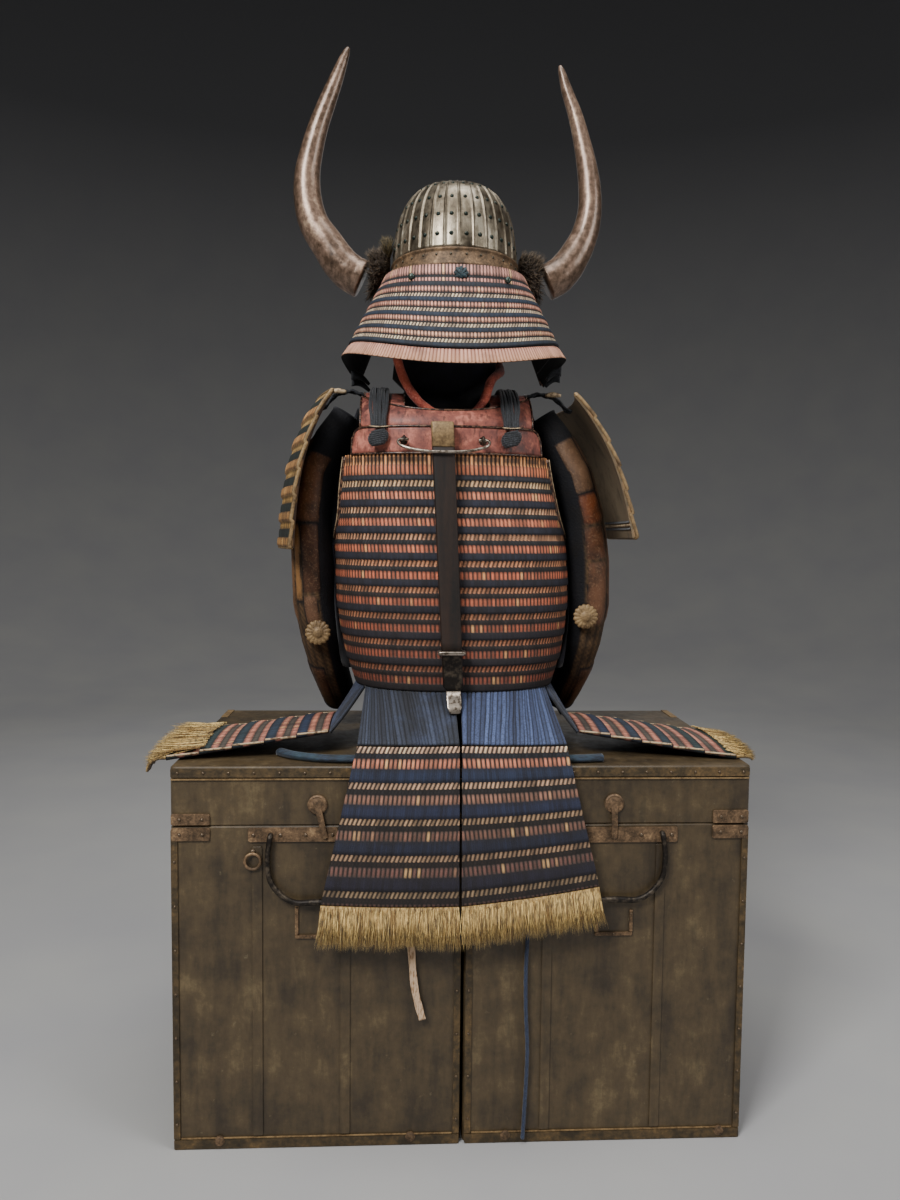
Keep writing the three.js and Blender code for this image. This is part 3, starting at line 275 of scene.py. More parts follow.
def shell(name, grid, finish, thick, side, height=0, tint=None, inner_tint=(0.02, 0.015, 0.012), gloss=None,
          wrapped=False, coarse=(1, 1)):
    """A closed sheet on a grid of points: raised by height outside, plain inside."""
    rows, cols = grid.shape[:2]
    normal = normals_of(grid, side, wrapped)
    outer = grid + normal * (np.zeros((rows, cols)) + height)[..., None]
    r_in = list(range(0, rows, coarse[0]))
    c_in = list(range(0, cols, coarse[1]))
    inner = (grid - normal * thick)[np.ix_(r_in, c_in)]
    base = rows * cols

    def front(r, c):
        return r * cols + (c % cols)

    def back(i, j):
        return base + i * len(c_in) + (j % len(c_in))

    faces = []
    for r in range(rows - 1):
        for c in range(cols if wrapped else cols - 1):
            faces.append((front(r, c), front(r, c + 1), front(r + 1, c + 1), front(r + 1, c)))
    for i in range(len(r_in) - 1):
        for j in range(len(c_in) if wrapped else len(c_in) - 1):
            faces.append((back(i, j), back(i + 1, j), back(i + 1, j + 1), back(i, j + 1)))
    for j in range(len(c_in) if wrapped else len(c_in) - 1):
        first, last = c_in[j], c_in[j] + coarse[1]
        span = range(first, last + 1)
        faces.append([front(0, c) for c in reversed(span)] + [back(0, j), back(0, j + 1)])
        end = len(r_in) - 1
        faces.append([front(rows - 1, c) for c in span] + [back(end, j + 1), back(end, j)])
    if not wrapped:
        for i in range(len(r_in) - 1):
            span = range(r_in[i], r_in[i] + coarse[0] + 1)
            end = len(c_in) - 1
            faces.append([front(r, 0) for r in span] + [back(i + 1, 0), back(i, 0)])
            faces.append([front(r, cols - 1) for r in reversed(span)] + [back(i, end), back(i + 1, end)])
    points = np.concatenate([outer.reshape(-1, 3), inner.reshape(-1, 3)])
    tints = None
    if tint is not None:
        inside = np.tile(np.array(inner_tint, float), (len(inner.reshape(-1, 3)), 1))
        tints = np.concatenate([np.broadcast_to(tint, grid.shape).reshape(-1, 3), inside])
    shine = None
    if gloss is not None:
        shine = np.concatenate([np.broadcast_to(gloss, (rows, cols)).ravel(), np.zeros(len(points) - base)])
    return new_piece(name, points, faces, finish, tints=tints, gloss=shine)


def rings_body(rings):
    """Points and faces of a closed body through rings of points."""
    rings = [np.asarray(r, float) for r in rings]
    count = len(rings[0])
    points = np.concatenate(rings + [rings[0].mean(0, keepdims=True), rings[-1].mean(0, keepdims=True)])
    faces = []
    for r in range(len(rings) - 1):
        for c in range(count):
            n = (c + 1) % count
            faces.append((r * count + c, r * count + n, (r + 1) * count + n, (r + 1) * count + c))
    last = (len(rings) - 1) * count
    for c in range(count):
        n = (c + 1) % count
        faces.append((n, c, len(points) - 2))
        faces.append((last + c, last + n, len(points) - 1))
    return points, faces


def sweep_rings(path, half_sizes, sides=12, reference=(0, 1, 0), power=2, flute=None):
    """Rings along a path, turned as little as the path allows."""
    keep = Vector(reference)
    path = [Vector(p) for p in path]
    rings = []
    for i, point in enumerate(path):
        tangent = (path[min(i + 1, len(path) - 1)] - path[max(i - 1, 0)]).normalized()
        along = (keep - tangent * keep.dot(tangent)).normalized()
        keep = along
        across = tangent.cross(along).normalized()
        a, b = half_sizes(i / (len(path) - 1), i)
        angle = turns(sides, 0.5)
        x, y = oval(angle, a, b, power)
        if flute is not None:
            x, y = x * flute(np.arange(sides), i), y * flute(np.arange(sides), i)
        rings.append(np.array(point) + np.outer(x, across) + np.outer(y, along))
    return rings


def sweep(name, path, half_sizes, finish, body=ROOT, **more):
    return new_piece(name, *rings_body(sweep_rings(path, half_sizes, **more)), finish, body=body)


def tube(path, half_sizes, sides=12, reference=(0, 1, 0), power=2):
    """A bar of one section along a path."""
    return rings_body(sweep_rings(path, lambda t, i: half_sizes, sides, reference, power))


def rim(points, radius, sides=8, reference=(0, 1, 0)):
    return tube(points, (radius, radius), sides, reference)


def merged(bodies):
    """Several sets of points and faces as one."""
    points, faces, start = [], [], 0
    for pts, fcs in bodies:
        points.append(np.asarray(pts, float))
        faces += [[i + start for i in f] for f in fcs]
        start += len(pts)
    return np.concatenate(points), faces


def trim(name, bodies, finish):
    new_piece(name, *merged(bodies), finish)


def disc(x, z, sides, profile):
    """A round body that faces along y, through rings of radius and y."""
    turn = turns(sides)
    return rings_body([stack(x + r * np.cos(turn), y, z + r * np.sin(turn)) for r, y in profile])


def slab(outline, near, bevel=0.8):
    """A flat plate on the chests' front: an outline in x and z, its y, and a soft front edge."""
    outline = np.array(outline, float)
    middle = outline.mean(0)
    inset = middle + (outline - middle) * (1 - bevel / np.maximum(np.abs(outline - middle).max(), 1))
    rings = [stack(outline[:, 0], CHEST_FRONT + 1, outline[:, 1]), stack(outline[:, 0], near + bevel, outline[:, 1]),
             stack(inset[:, 0], near, inset[:, 1])]
    return rings_body(rings)


def rounded(x0, x1, z0, z1, radius, count=4):
    """An outline with round corners."""
    out = []
    for cx, cz, start in ((x1 - radius, z1 - radius, 0), (x0 + radius, z1 - radius, 90),
                          (x0 + radius, z0 + radius, 180), (x1 - radius, z0 + radius, 270)):
        for k in range(count + 1):
            a = math.radians(start + 90 * k / count)
            out.append((cx + radius * math.cos(a), cz + radius * math.sin(a)))
    return out


# Geometry Nodes: one shape repeated on points, each with its own turn, size and tint
def repeat_tree():
    tree = bpy.data.node_groups.get("repeat on points")
    if tree:
        return tree
    tree = bpy.data.node_groups.new("repeat on points", "GeometryNodeTree")
    for name, way, kind in (("Points", "INPUT", "Geometry"), ("Shape", "INPUT", "Object"),
                            ("Finish", "INPUT", "Material"), ("Result", "OUTPUT", "Geometry")):
        tree.interface.new_socket(name, in_out=way, socket_type="NodeSocket" + kind)
    made = {name: tree.nodes.new(kind) for name, kind in (
        ("given", "NodeGroupInput"), ("result", "NodeGroupOutput"), ("shape", "GeometryNodeObjectInfo"),
        ("place", "GeometryNodeInstanceOnPoints"), ("turn", "GeometryNodeInputNamedAttribute"),
        ("size", "GeometryNodeInputNamedAttribute"), ("angle", "FunctionNodeEulerToRotation"),
        ("real", "GeometryNodeRealizeInstances"), ("coat", "GeometryNodeSetMaterial"))}
    for name, kind in (("turn", "FLOAT_VECTOR"), ("size", "FLOAT")):
        made[name].data_type = kind
        made[name].inputs["Name"].default_value = name
    for a, out, b, into in (
            ("given", "Shape", "shape", "Object"), ("given", "Points", "place", "Points"),
            ("shape", "Geometry", "place", "Instance"), ("turn", "Attribute", "angle", 0),
            ("angle", 0, "place", "Rotation"), ("size", "Attribute", "place", "Scale"),
            ("place", "Instances", "real", "Geometry"), ("real", "Geometry", "coat", "Geometry"),
            ("given", "Finish", "coat", "Material"), ("coat", "Geometry", "result", "Result")):
        tree.links.new(made[a].outputs[out], made[b].inputs[into])
    return tree


def repeat(name, shape, places, finish, body=ROOT):
    """Repeat a unit shape on places: (point in mm, direction of its own Z, spin, size in mm, tint)."""
    source = add_object(name + "_unit", new_mesh(name + "_unit", *shape))
    host = bpy.data.meshes.new(name)
    host.from_pydata([tuple(np.asarray(p[0], float) * MM) for p in places], [], [])
    turns, sizes, tints = [], [], []
    for _, direction, spin, size, tint in places:
        turn = Vector(direction).to_track_quat("Z", "Y") @ Quaternion(UP, spin)
        turns += list(turn.to_euler())
        sizes.append(size * MM)
        tints += [*tint, 1]
    host.attributes.new("turn", "FLOAT_VECTOR", "POINT").data.foreach_set("vector", turns)
    host.attributes.new("size", "FLOAT", "POINT").data.foreach_set("value", sizes)
    host.attributes.new("tint", "FLOAT_COLOR", "POINT").data.foreach_set("color", tints)
    piece = add_object(name, host)
    tree = repeat_tree()
    modifier = piece.modifiers.new("repeat", "NODES")
    modifier.node_group = tree
    sockets = {s.name: s.identifier for s in tree.interface.items_tree if s.in_out == "INPUT"}
    modifier[sockets["Shape"]] = source
    modifier[sockets["Finish"]] = finish_of(finish)
    bpy.context.view_layer.update()
    made = bpy.data.meshes.new_from_object(piece.evaluated_get(bpy.context.evaluated_depsgraph_get()))
    piece.modifiers.remove(modifier)
    piece.data = made
    bpy.data.objects.remove(source)
    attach(piece, body)
    return piece


def dome(sides=10):
    """A low round rivet head of radius 1 that stands on z = 0."""
    angle = turns(sides)
    rings = [stack(r * np.cos(angle), r * np.sin(angle), z) for r, z in
             ((1, -0.3), (1, 0.1), (0.8, 0.45), (0.42, 0.68))]
    return rings_body(rings)


def strand(bend=0.12, thick=0.011):
    """A hair of length 1 that leans a little, with three sides."""
    rings = []
    for t, width in ((0, 1), (0.55, 0.8), (1, 0.14)):
        angle = turns(3)
        rings.append(stack(thick * width * np.cos(angle) + bend * t * t, thick * width * np.sin(angle), t))
    return rings_body(rings)


# Shaders
class Wire:
    """A shader value that can be used in sums."""

    def __init__(self, paint, socket):
        self.paint, self.socket = paint, socket

    def join(self, operation, other, turned=False):
        pair = (other, self) if turned else (self, other)
        return self.paint.node("ShaderNodeMath", {"operation": operation}, {0: pair[0], 1: pair[1]})

    def __add__(self, other): return self.join("ADD", other)
    def __radd__(self, other): return self.join("ADD", other, True)
    def __rsub__(self, other): return self.join("SUBTRACT", other, True)
    def __mul__(self, other): return self.join("MULTIPLY", other)


class Paint:
    """One material's nodes."""

    def __init__(self, name):
        self.material = bpy.data.materials.new(name)
        self.material.use_nodes = True
        self.tree = self.material.node_tree
        self.tree.nodes.clear()
        self.place = self.node("ShaderNodeTexCoord", output="Object")

    def node(self, kind, settings=None, inputs=None, output=0):
        made = self.tree.nodes.new(kind)
        for key, value in (settings or {}).items():
            if key == "stops":
                ramp = made.color_ramp
                while len(ramp.elements) < len(value):
                    ramp.elements.new(0.5)
                for element, (at, colour) in zip(ramp.elements, value):
                    element.position = at
                    element.color = (*colour, 1)
            else:
                setattr(made, key, value)
        for key, value in (inputs or {}).items():
            if isinstance(value, Wire):
                self.tree.links.new(value.socket, made.inputs[key])
            elif isinstance(value, tuple) and len(value) == 3 and made.inputs[key].type == "RGBA":
                made.inputs[key].default_value = (*value, 1)
            else:
                made.inputs[key].default_value = value
        return Wire(self, made.outputs[output])

    def noise(self, scale, detail=4, rough=0.6, stretch=None):
        where = self.place
        if stretch:
            where = self.node("ShaderNodeMapping", None, {"Vector": where, "Scale": stretch})
        raw = self.node("ShaderNodeTexNoise", None,
                        {"Vector": where, "Scale": scale, "Detail": detail, "Roughness": rough})
        return self.step(raw, 0.27, 0.73)

    def step(self, value, low, high):
        return self.node("ShaderNodeMapRange", {"clamp": True},
                         {"Value": value, "From Min": low, "From Max": high, "To Min": 0.0, "To Max": 1.0})

    def blend(self, a, b, share):
        return self.node("ShaderNodeMix", {"data_type": "RGBA", "clamp_factor": True},
                         {0: share, 6: a, 7: b}, 2)

    def given(self, name, output="Color"):
        return self.node("ShaderNodeAttribute", {"attribute_name": name}, None, output)

    def finish(self, colour, rough, metal=0.0, bump=None, depth=0.0006, strength=0.5, sheen=0.0, coat=0.0):
        inputs = {"Base Color": colour, "Roughness": rough, "Metallic": metal, "Sheen Weight": sheen,
                  "Coat Weight": coat, "Coat Roughness": 0.25}
        if bump is not None:
            inputs["Normal"] = self.node("ShaderNodeBump", None,
                                         {"Strength": strength, "Distance": depth, "Height": bump})
        shader = self.node("ShaderNodeBsdfPrincipled", None, inputs)
        out = self.tree.nodes.new("ShaderNodeOutputMaterial")
        self.tree.links.new(shader.socket, out.inputs["Surface"])
        return self.material


# Finishes of noises only: noises by name (scale, detail, roughness, stretch); ground (a tone, the piece's own tint or
# a ramp over a sum of noises); layers (tone, sum, from, to, share); roughness; metal; bump (sum, depth, strength).
GRAIN_FINE = (1.0, 1.0, 0.08)
PLAIN = {
    "lacquer": (
        {"cloud": (13, 7, 0.7), "blotch": (60, 6, 0.7), "scratch": (170, 3, 0.5, (1.0, 1.0, 0.35))},
        ([(0.1, "#38201c"), (0.36, "#724038"), (0.6, "#a45f50"), (0.86, "#ee9680")], "cloud 0.6 blotch 0.4"),
        [("#c07860", "blotch", 0.6, 0.72, 0.45), ("#1d1413", "scratch", 0.62, 0.8, 0.5)],
        (0.48, "blotch 0.25"), 0.0, "blotch 0.6 scratch 0.4", 0.0007, 0.4, {"coat": 0.08}),
    "edging": ({"fine": (220, 4)}, "#2c1b17", [("#7a5a46", "fine", 0.45, 0.7, 1)], 0.38, 0.2, "fine", 0.0004, 0.4,
               {"coat": 0.3}),
    "pale_leather": ({"fine": (160, 5)}, "#c9b08c", [("#6c523c", "fine", 0.45, 0.78, 1)], 0.7, 0.0, "fine", 0.0005,
                     0.4, {}),
    "hair": ({"streak": (300, 4, 0.6, GRAIN_FINE)}, "tint", [("#4d3a20", "streak", 0.42, 0.75, 0.75)], 0.62, 0.0,
             "streak", 0.0012, 0.7, {"sheen": 0.1}),
    "iron": (
        {"cloud": (14, 6), "fine": (120, 5, 0.7), "streak": (60, 4, 0.6, (1.0, 1.0, 0.15))},
        ([(0.15, "#2c261e"), (0.4, "#645a4b"), (0.6, "#988d7a"), (0.86, "#dcd2be")],
         "cloud 0.4 streak 0.35 fine 0.25"),
        [("#3c3a26", "fine", 0.55, 0.85, 0.35)], (0.28, "fine 0.22"), 0.85, "fine", 0.0005, 0.35, {}),
    "dark_iron": ({"fine": (150, 5, 0.7), "cloud": (30, 4)}, "#231e1a",
                  [("#5f5446", "cloud 0.5 fine 0.5", 0.42, 0.72, 1)], 0.5, 0.6, "fine", 0.0004, 0.35, {}),
    "rusty": (
        {"cloud": (45, 6, 0.7), "fine": (260, 5, 0.7)},
        ([(0.15, "#2c2218"), (0.4, "#5a4733"), (0.6, "#7c6248"), (0.85, "#b4946c")], "cloud 0.6 fine 0.4"),
        [], 0.6, 0.35, "fine 0.6 cloud 0.4", 0.0009, 0.5, {}),
    "bright_metal": ({"fine": (200, 4)}, "#a89c8e", [("#63574a", "fine", 0.5, 0.75, 1)], 0.3, 0.85, "fine", 0.0003,
                     0.3, {}),
    "brass": ({"cloud": (40, 5, 0.65), "fine": (300, 4)}, "#9c8058",
              [("#4e3a24", "cloud 0.6 fine 0.4", 0.3, 0.8, 1)], 0.55, 0.2, "fine", 0.0005, 0.4, {}),
    "horn": (
        {"streak": (18, 5, 0.6, (1.0, 1.0, 0.25)), "fine": (110, 5, 0.7)},
        ([(0.15, "#2c2018"), (0.4, "#5e4a3a"), (0.62, "#8c7260"), (0.88, "#d0b496")], "streak 0.6 fine 0.4"),
        [], (0.26, "fine 0.2"), 0.45, "fine 0.7 streak 0.3", 0.0008, 0.4, {"coat": 0.4}),
    "fur": ({"streak": (260, 4)}, "tint", [("#0e0a08", "streak", 0.4, 0.7, 0.6)], 0.7, 0.0, "streak", 0.001, 0.6, {}),
    "cord": ({"fine": (500, 3)}, "#101216", [("#31343a", "fine", 0.45, 0.75, 1)], 0.7, 0.0, "fine", 0.0005, 0.6,
             {"sheen": 0.2}),
    "salmon": ({"fine": (420, 3), "cloud": (30, 4)}, "#c0573f",
               [("#8e3527", "cloud", 0.4, 0.7, 1), ("#e09078", "fine", 0.55, 0.75, 0.4)], 0.75, 0.0, "fine", 0.0005,
               0.5, {"sheen": 0.2}),
    "ribbon": ({"fine": (500, 3, 0.6, (1.0, 1.0, 0.2))}, "#d8b999", [("#9c7650", "fine", 0.5, 0.8, 1)], 0.85, 0.0,
               "fine", 0.0004, 0.4, {}),
    "wood": ({"grain": (60, 5, 0.6, GRAIN_FINE), "fine": (240, 4)}, "#0d0704",
             [("#2e1c10", "grain 0.7 fine 0.3", 0.2, 0.9, 1)], (0.55, "fine 0.15"), 0.0, "grain", 0.0005, 0.3,
             {"coat": 0.05}),
    "chest": (
        {"cloud": (5, 6, 0.65), "fine": (70, 6, 0.7), "dust": (22, 8, 0.75),
         "scratch": (35, 4, 0.7, (1.0, 1.0, 0.2))},
        ([(0.08, "#221b11"), (0.36, "#3c3121"), (0.6, "#54452e"), (0.9, "#82704e")],
         "cloud 0.26 dust 0.4 scratch 0.34"),
        [("#86795c", "fine", 0.8, 0.97, 0.4), ("#0f0c07", "scratch", 0.7, 0.95, 0.5)],
        (0.36, "fine 0.3"), 0.0, "fine 0.5 dust 0.5", 0.0006, 0.3, {"coat": 0.12}),
    "rivet": ({"fine": (300, 4)}, "tint", [("#6c6452", "fine", 0.5, 0.9, 0.4)], 0.32, 0.6, "fine", 0.0003, 0.3, {}),
    "teal": ({"fine": (500, 3)}, "#1d3a42", [("#0f1418", "fine", 0.4, 0.7, 1)], 0.7, 0.0, "fine", 0.0005, 0.6,
             {"sheen": 0.2}),
    "blue_cord": ({"fine": (700, 3), "cloud": (14, 4)}, "#36435e",
                  [("#141a2c", "fine", 0.2, 0.8, 1), ("#64779a", "cloud", 0.55, 0.9, 0.35)], 0.72, 0.0, "fine",
                  0.0005, 0.6, {"sheen": 0.2}),
    "sash": ({"fine": (420, 3, 0.6, (0.2, 1.0, 1.0)), "cloud": (18, 4)}, "#26364a",
             [("#0b101a", "fine", 0.2, 0.8, 1), ("#34545e", "cloud", 0.5, 0.9, 0.4)], 0.72, 0.0, "fine", 0.0006, 0.6,
             {"sheen": 0.2}),
    "chest_trim": (
        {"cloud": (9, 6, 0.7), "fine": (90, 6, 0.7)},
        ([(0.15, "#231b11"), (0.42, "#3d3220"), (0.64, "#5d4a2e"), (0.88, "#8a6c42")], "cloud 0.5 fine 0.5"),
        [], (0.5, "fine 0.2"), 0.1, "fine", 0.0005, 0.35, {}),
}


def paint_plain(p, row):
    """Build one finish of the table."""
    noises, ground, layers, rough, metal, bump, depth, strength, more = row
    made = {name: p.noise(*numbers) for name, numbers in noises.items()}

    def total(words):
        words = words.split()
        parts = [made[name] * float(share) for name, share in zip(words[::2], words[1::2])]
        return sum(parts[1:], parts[0]) if parts else made[words[0]]
    if ground == "tint":
        colour = p.given("tint")
    elif isinstance(ground, str):
        colour = tone(ground)
    else:
        stops = [(at, tone(code)) for at, code in ground[0]]
        colour = p.node("ShaderNodeValToRGB", {"stops": stops}, {"Fac": total(ground[1])})
    for code, words, low, high, share in layers:
        colour = p.blend(colour, tone(code), p.step(total(words), low, high) * share)
    if isinstance(rough, tuple):
        rough = rough[0] + total(rough[1])
    return p.finish(colour, rough, metal, total(bump), depth, strength, **more)


def paint_laced(p):
    gloss = p.given("gloss", "Fac")
    strands = p.noise(900, 3, 0.6)
    wear = p.noise(28, 5, 0.65)
    dirt = p.blend(p.given("tint"), tone("#120c0a"), p.step(wear, 0.5, 0.95) * 0.45)
    # Painted sheen: pale strands are mixed in where the gloss is high, on the crests of the cords.
    colour = p.blend(dirt, tone("#d8c4b0"), strands * gloss * 0.12)
    return p.finish(colour, 0.8 - gloss * 0.4 + wear * 0.1, gloss * 0.2, strands, 0.0005, 0.5)


def paint_silk(p):
    along = p.noise(420, 3, 0.6, (1.0, 1.0, 0.12))
    fade = p.noise(9, 4, 0.6)
    colour = p.blend(p.given("tint"), tone("#56658c"), p.step(fade, 0.6, 0.9) * 0.3)
    colour = p.blend(colour, tone("#0a0b10"), p.step(along, 0.35, 0.75) * 0.5)
    return p.finish(colour, 0.7, 0.0, along, 0.0006, 0.5, sheen=0.15)


def paint_black_cloth(p):
    weave = p.node("ShaderNodeTexWave", {"bands_direction": "X"}, {"Vector": p.place, "Scale": 600.0})
    weft = p.node("ShaderNodeTexWave", {"bands_direction": "Z"}, {"Vector": p.place, "Scale": 600.0})
    cloud = p.noise(12, 4, 0.6)
    colour = p.blend(tone("#07070b"), tone("#181827"), p.step(cloud, 0.45, 0.8))
    return p.finish(colour, 0.9, 0.0, weave + weft, 0.0002, 0.3, sheen=0.1)


def paint_sleeve(p):
    gloss = p.given("gloss", "Fac")
    cloud = p.noise(24, 6, 0.7)
    fine = p.noise(260, 5, 0.7)
    rings = p.node("ShaderNodeTexVoronoi", None, {"Vector": p.place, "Scale": 300}, "Distance")
    colour = p.blend(p.given("tint"), tone("#120d0a"), p.step(cloud, 0.45, 0.8) * 0.6)
    colour = p.blend(colour, tone("#a58160"), p.step(fine, 0.55, 0.9) * gloss * 0.5)
    return p.finish(colour, 0.85 - gloss * 0.4, 0.1, rings * (1 - gloss) + fine * 0.5, 0.0009, 0.6)


def paint_floor(p):
    fine = p.noise(3, 3, 0.5)
    height = p.node("ShaderNodeSeparateXYZ", None, {"Vector": p.place}, 2)
    colour = p.blend(tone("#b4b3b0"), tone("#acabac"), fine)
    # Painted shade: the backdrop is blended to a darker grey going up from the floor to 4.5 m.
    colour = p.blend(colour, tone("#5c5c5e"), p.step(height, 0.0, 4.5))
    return p.finish(colour, 0.9, 0.0, p.noise(160, 3, 0.6), 0.0003, 0.1)


SPECIAL = {"laced": paint_laced, "silk": paint_silk, "black_cloth": paint_black_cloth,
           "sleeve": paint_sleeve, "floor": paint_floor}


def finish_of(name):
    """One finish, made once."""
    full = name + " finish"
    made = bpy.data.materials.get(full)
    if made:
        return made
    return paint_plain(Paint(full), PLAIN[name]) if name in PLAIN else SPECIAL[name](Paint(full))


# The armour's surfaces, in millimetres
def trunk(z, column):
    """One measure of the cuirass at a height."""
    return column_at(CUIRASS_SECTIONS, z, column)


def cuirass_point(angle, z):
    x, y = oval(angle, trunk(z, 1), trunk(z, 2), CUIRASS["power"])
    return stack(trunk(z, 3) + x, MIDDLE_Y + y, z)


def armhole_reach(z, half):
    column = 1 if half == "back" else 2
    return np.where(z < ARMHOLES[0][0], ARMHOLES[0][column], column_at(ARMHOLES, z, column))


def angle_of(s, half_width):
    share = np.minimum(np.abs(s) * half_width / trunk(PLATE["bottom"], 1), 1)
    return np.sign(s) * np.arcsin(share ** (CUIRASS["power"] / 2))


def plate_top(s):
    start = 1 - PLATE["corner"] / PLATE["half_width"]
    past = np.maximum(np.abs(s) - start, 0) / (1 - start)
    return PLATE["top"] - PLATE["corner"] * (1 - np.sqrt(np.maximum(1 - past * past, 0)))


def plate_point(s, v):
    return cuirass_point(angle_of(s, PLATE["half_width"]), mix(plate_top(s), PLATE["bottom"], v))


def collar_point(s, v):
    bottom = plate_top(s * COLLAR["half_width"] / PLATE["half_width"]) + SEAM
    rise = np.abs(s) ** 2.4
    top = mix(COLLAR["neck_top"], COLLAR["shoulder_top"], rise)
    foot = cuirass_point(angle_of(s, COLLAR["half_width"]), bottom)
    up = 1 - v
    lean = COLLAR["lean"] * (top - bottom) * up * up * (1 + rise) * 0.0075
    return stack(foot[..., 0], foot[..., 1] + lean, mix(top, bottom, v))


def hung_surfaces(name):
    face, start, end, top, bottom, low, hair = HUNG_TASSETS[name]

    def hang(u, drop):
        return face * (TASSET["edge_y"] + 3 + 20 * drop + 5 * (1 - (2 * u - 1) ** 2))

    def strings(u, v):
        hem = cuirass_point(np.radians(mix(start, end, u)), np.zeros_like(u) + CUIRASS["hem"])
        hem_z = CUIRASS["hem"] - (2 if face < 0 else 0.8)
        tip = stack(mix(top[0], top[1], u), hang(u, 0), TASSET["lame_top"] + SEAM + 2.4)
        hem[..., 2] = hem_z
        return hem + (tip - hem) * np.asarray(v)[..., None]

    def lames(u, v):
        x = mix(mix(top[0], bottom[0], v), mix(top[1], bottom[1], v), u)
        return stack(x, hang(u, v), mix(TASSET["lame_top"], mix(low[0], low[1], u), v))

    def fringe(u, v):
        root = lames(u, np.ones_like(u))
        tip_y = face * mix(np.abs(root[..., 1]), TASSET["fringe_end_y"] - 4, 0.75)
        ease = np.sin(v * np.pi / 2)
        return stack(mix(root[..., 0], root[..., 0] * 1.02, v), mix(root[..., 1], tip_y, ease),
                     mix(root[..., 2] - SEAM, mix(hair[0], hair[1], u), v))
    return strings, lames, fringe


def side_surfaces(side):
    inner = {"x": 194, "z": 618, "rear": -150, "front": -2}
    outer = {"x": 432, "z": CHEST["top"] + TASSET["wall"] + 0.6, "rear": -180, "front": 8}
    lift, droop = 1.5, (32 if side < 0 else 12)

    def ridge(u):
        return 7 * (1 - (2 * u - 1) ** 2)

    def strings(u, v):
        hem = cuirass_point(side * np.radians(mix(64, 104, u)), np.zeros_like(u) + CUIRASS["hem"])
        hem[..., 2] = CUIRASS["hem"] - 2
        tip = stack(side * (inner["x"] - SEAM - 2.4), mix(inner["rear"], inner["front"], u),
                    inner["z"] - 1.6 + ridge(u))
        return hem + (tip - hem) * np.asarray(v)[..., None]

    def lames(u, v):
        y = mix(mix(inner["rear"], outer["rear"], v), mix(inner["front"], outer["front"], v), u)
        return stack(side * mix(inner["x"], outer["x"], v), y, mix(inner["z"], outer["z"], v) + ridge(u))

    def hair(u, v):
        back, ahead = np.minimum(v, 0), np.maximum(v, 0)
        root = lames(u, 1 + 0.25 * back)
        reach = SIDE_REACH - 3 - outer["x"] - SEAM
        out = side * root[..., 0] + SEAM + reach * np.sin(ahead * np.pi / 2)
        middle = (outer["rear"] + outer["front"]) / 2
        return stack(side * out, mix(root[..., 1], middle, 0.22 * ahead),
                     root[..., 2] + lift + 4.5 * np.minimum(-6 * back, 1) - droop * ahead * ahead)
    return strings, lames, hair


def guard_point(name, u, v):
    side, top_x, bottom_x, bottom, splay, bow, _ = GUARDS[name]
    out = mix(top_x, bottom_x, v) + bow * np.sin(np.pi * v ** 0.8) + 12 * (1 - (2 * u - 1) ** 2) + GUARD["wall"]
    return stack(side * (out + splay * (u - 0.5)), mix(GUARD["rear_y"], GUARD["front_y"], u),
                 mix(GUARD["top"], bottom, v))


def helmet_oval(angle, half_width, half_depth, z):
    x, y = oval(angle, half_width, half_depth, 2.1)
    return stack(HELMET["middle_x"] + x, HELMET["middle_y"] + y, z)


def neck_point(u, v):
    angle = np.radians(NECK["end_angle"]) * (2 * u - 1)
    sideways = np.sin(np.minimum(np.abs(angle), np.pi / 2)) ** 2
    beyond = (np.maximum(np.abs(angle) - np.pi / 2, 0) / np.radians(NECK["end_angle"] - 90)) ** 2
    top = 1321 + 9 * sideways - 4 * beyond
    bottom = 1171 + 36 * sideways - 26 * beyond
    return helmet_oval(angle, mix(112, 178, v), mix(132, 171, v), mix(top, bottom, v))


def sleeve_frame(side, v):
    """Middle, outward and forward directions and half sizes of a sleeve at places down it."""
    rows = np.array(SLEEVE_SECTIONS, float)
    out = column_at(CUIRASS_SECTIONS, rows[:, 0], 1) + 3.2 + rows[:, 1] + rows[:, 3]
    middles = stack(column_at(CUIRASS_SECTIONS, rows[:, 0], 3) + side * out, rows[:, 2], rows[:, 0])
    headings = np.array([middles[min(j + 1, len(rows) - 1)] - middles[max(j - 1, 0)] for j in range(len(rows))])
    headings = unit(headings)
    place = np.clip(np.asarray(v) * (len(rows) - 1), 0, len(rows) - 1 - 1e-6)
    i = place.astype(int)
    t = (place - i)[..., None]
    middle = mix(middles[i], middles[i + 1], t)
    tangent = unit(mix(headings[i], headings[i + 1], t))
    across = -side * unit(np.cross([0, 1, 0], tangent))
    along = np.cross(across, tangent)
    return middle, across, along, mix(rows[i], rows[i + 1], t)[..., 3], mix(rows[i], rows[i + 1], t)[..., 4]


def grid(us, vs):
    return np.meshgrid(np.asarray(us, float), np.asarray(vs, float))


# Lacing: rows of scale heads and braid. Each band is (start, end, kind, height, tints from top to bottom).
SAMPLES = {"bars": (0.05, 0.3, 0.7, 0.95), "dashes": (0.05, 0.35, 0.65, 0.95), "hooks": (0.05, 0.35, 0.65, 0.95),
           "braid": (0.04, 0.35, 0.68, 0.96), "twist": (0.08, 0.5, 0.92), "silk": (0.03, 0.3, 0.6, 0.97)}


def band_rows(lames, bands, first=()):
    """Places down a panel: (share of its length, lame, band, place in the band)."""
    rows = []
    for lame in range(math.ceil(lames)):
        for band in (first[lame] if lame < len(first) else bands):
            for t in SAMPLES[band[2]]:
                place = (lame + mix(band[0], band[1], t)) / lames
                if 0.001 < place < 0.999:
                    rows.append((place, lame, band, t))
    rows.sort(key=lambda r: r[0])
    return [(0.0, *rows[0][1:3], 0.0), *rows, (1.0, *rows[-1][1:3], 1.0)]


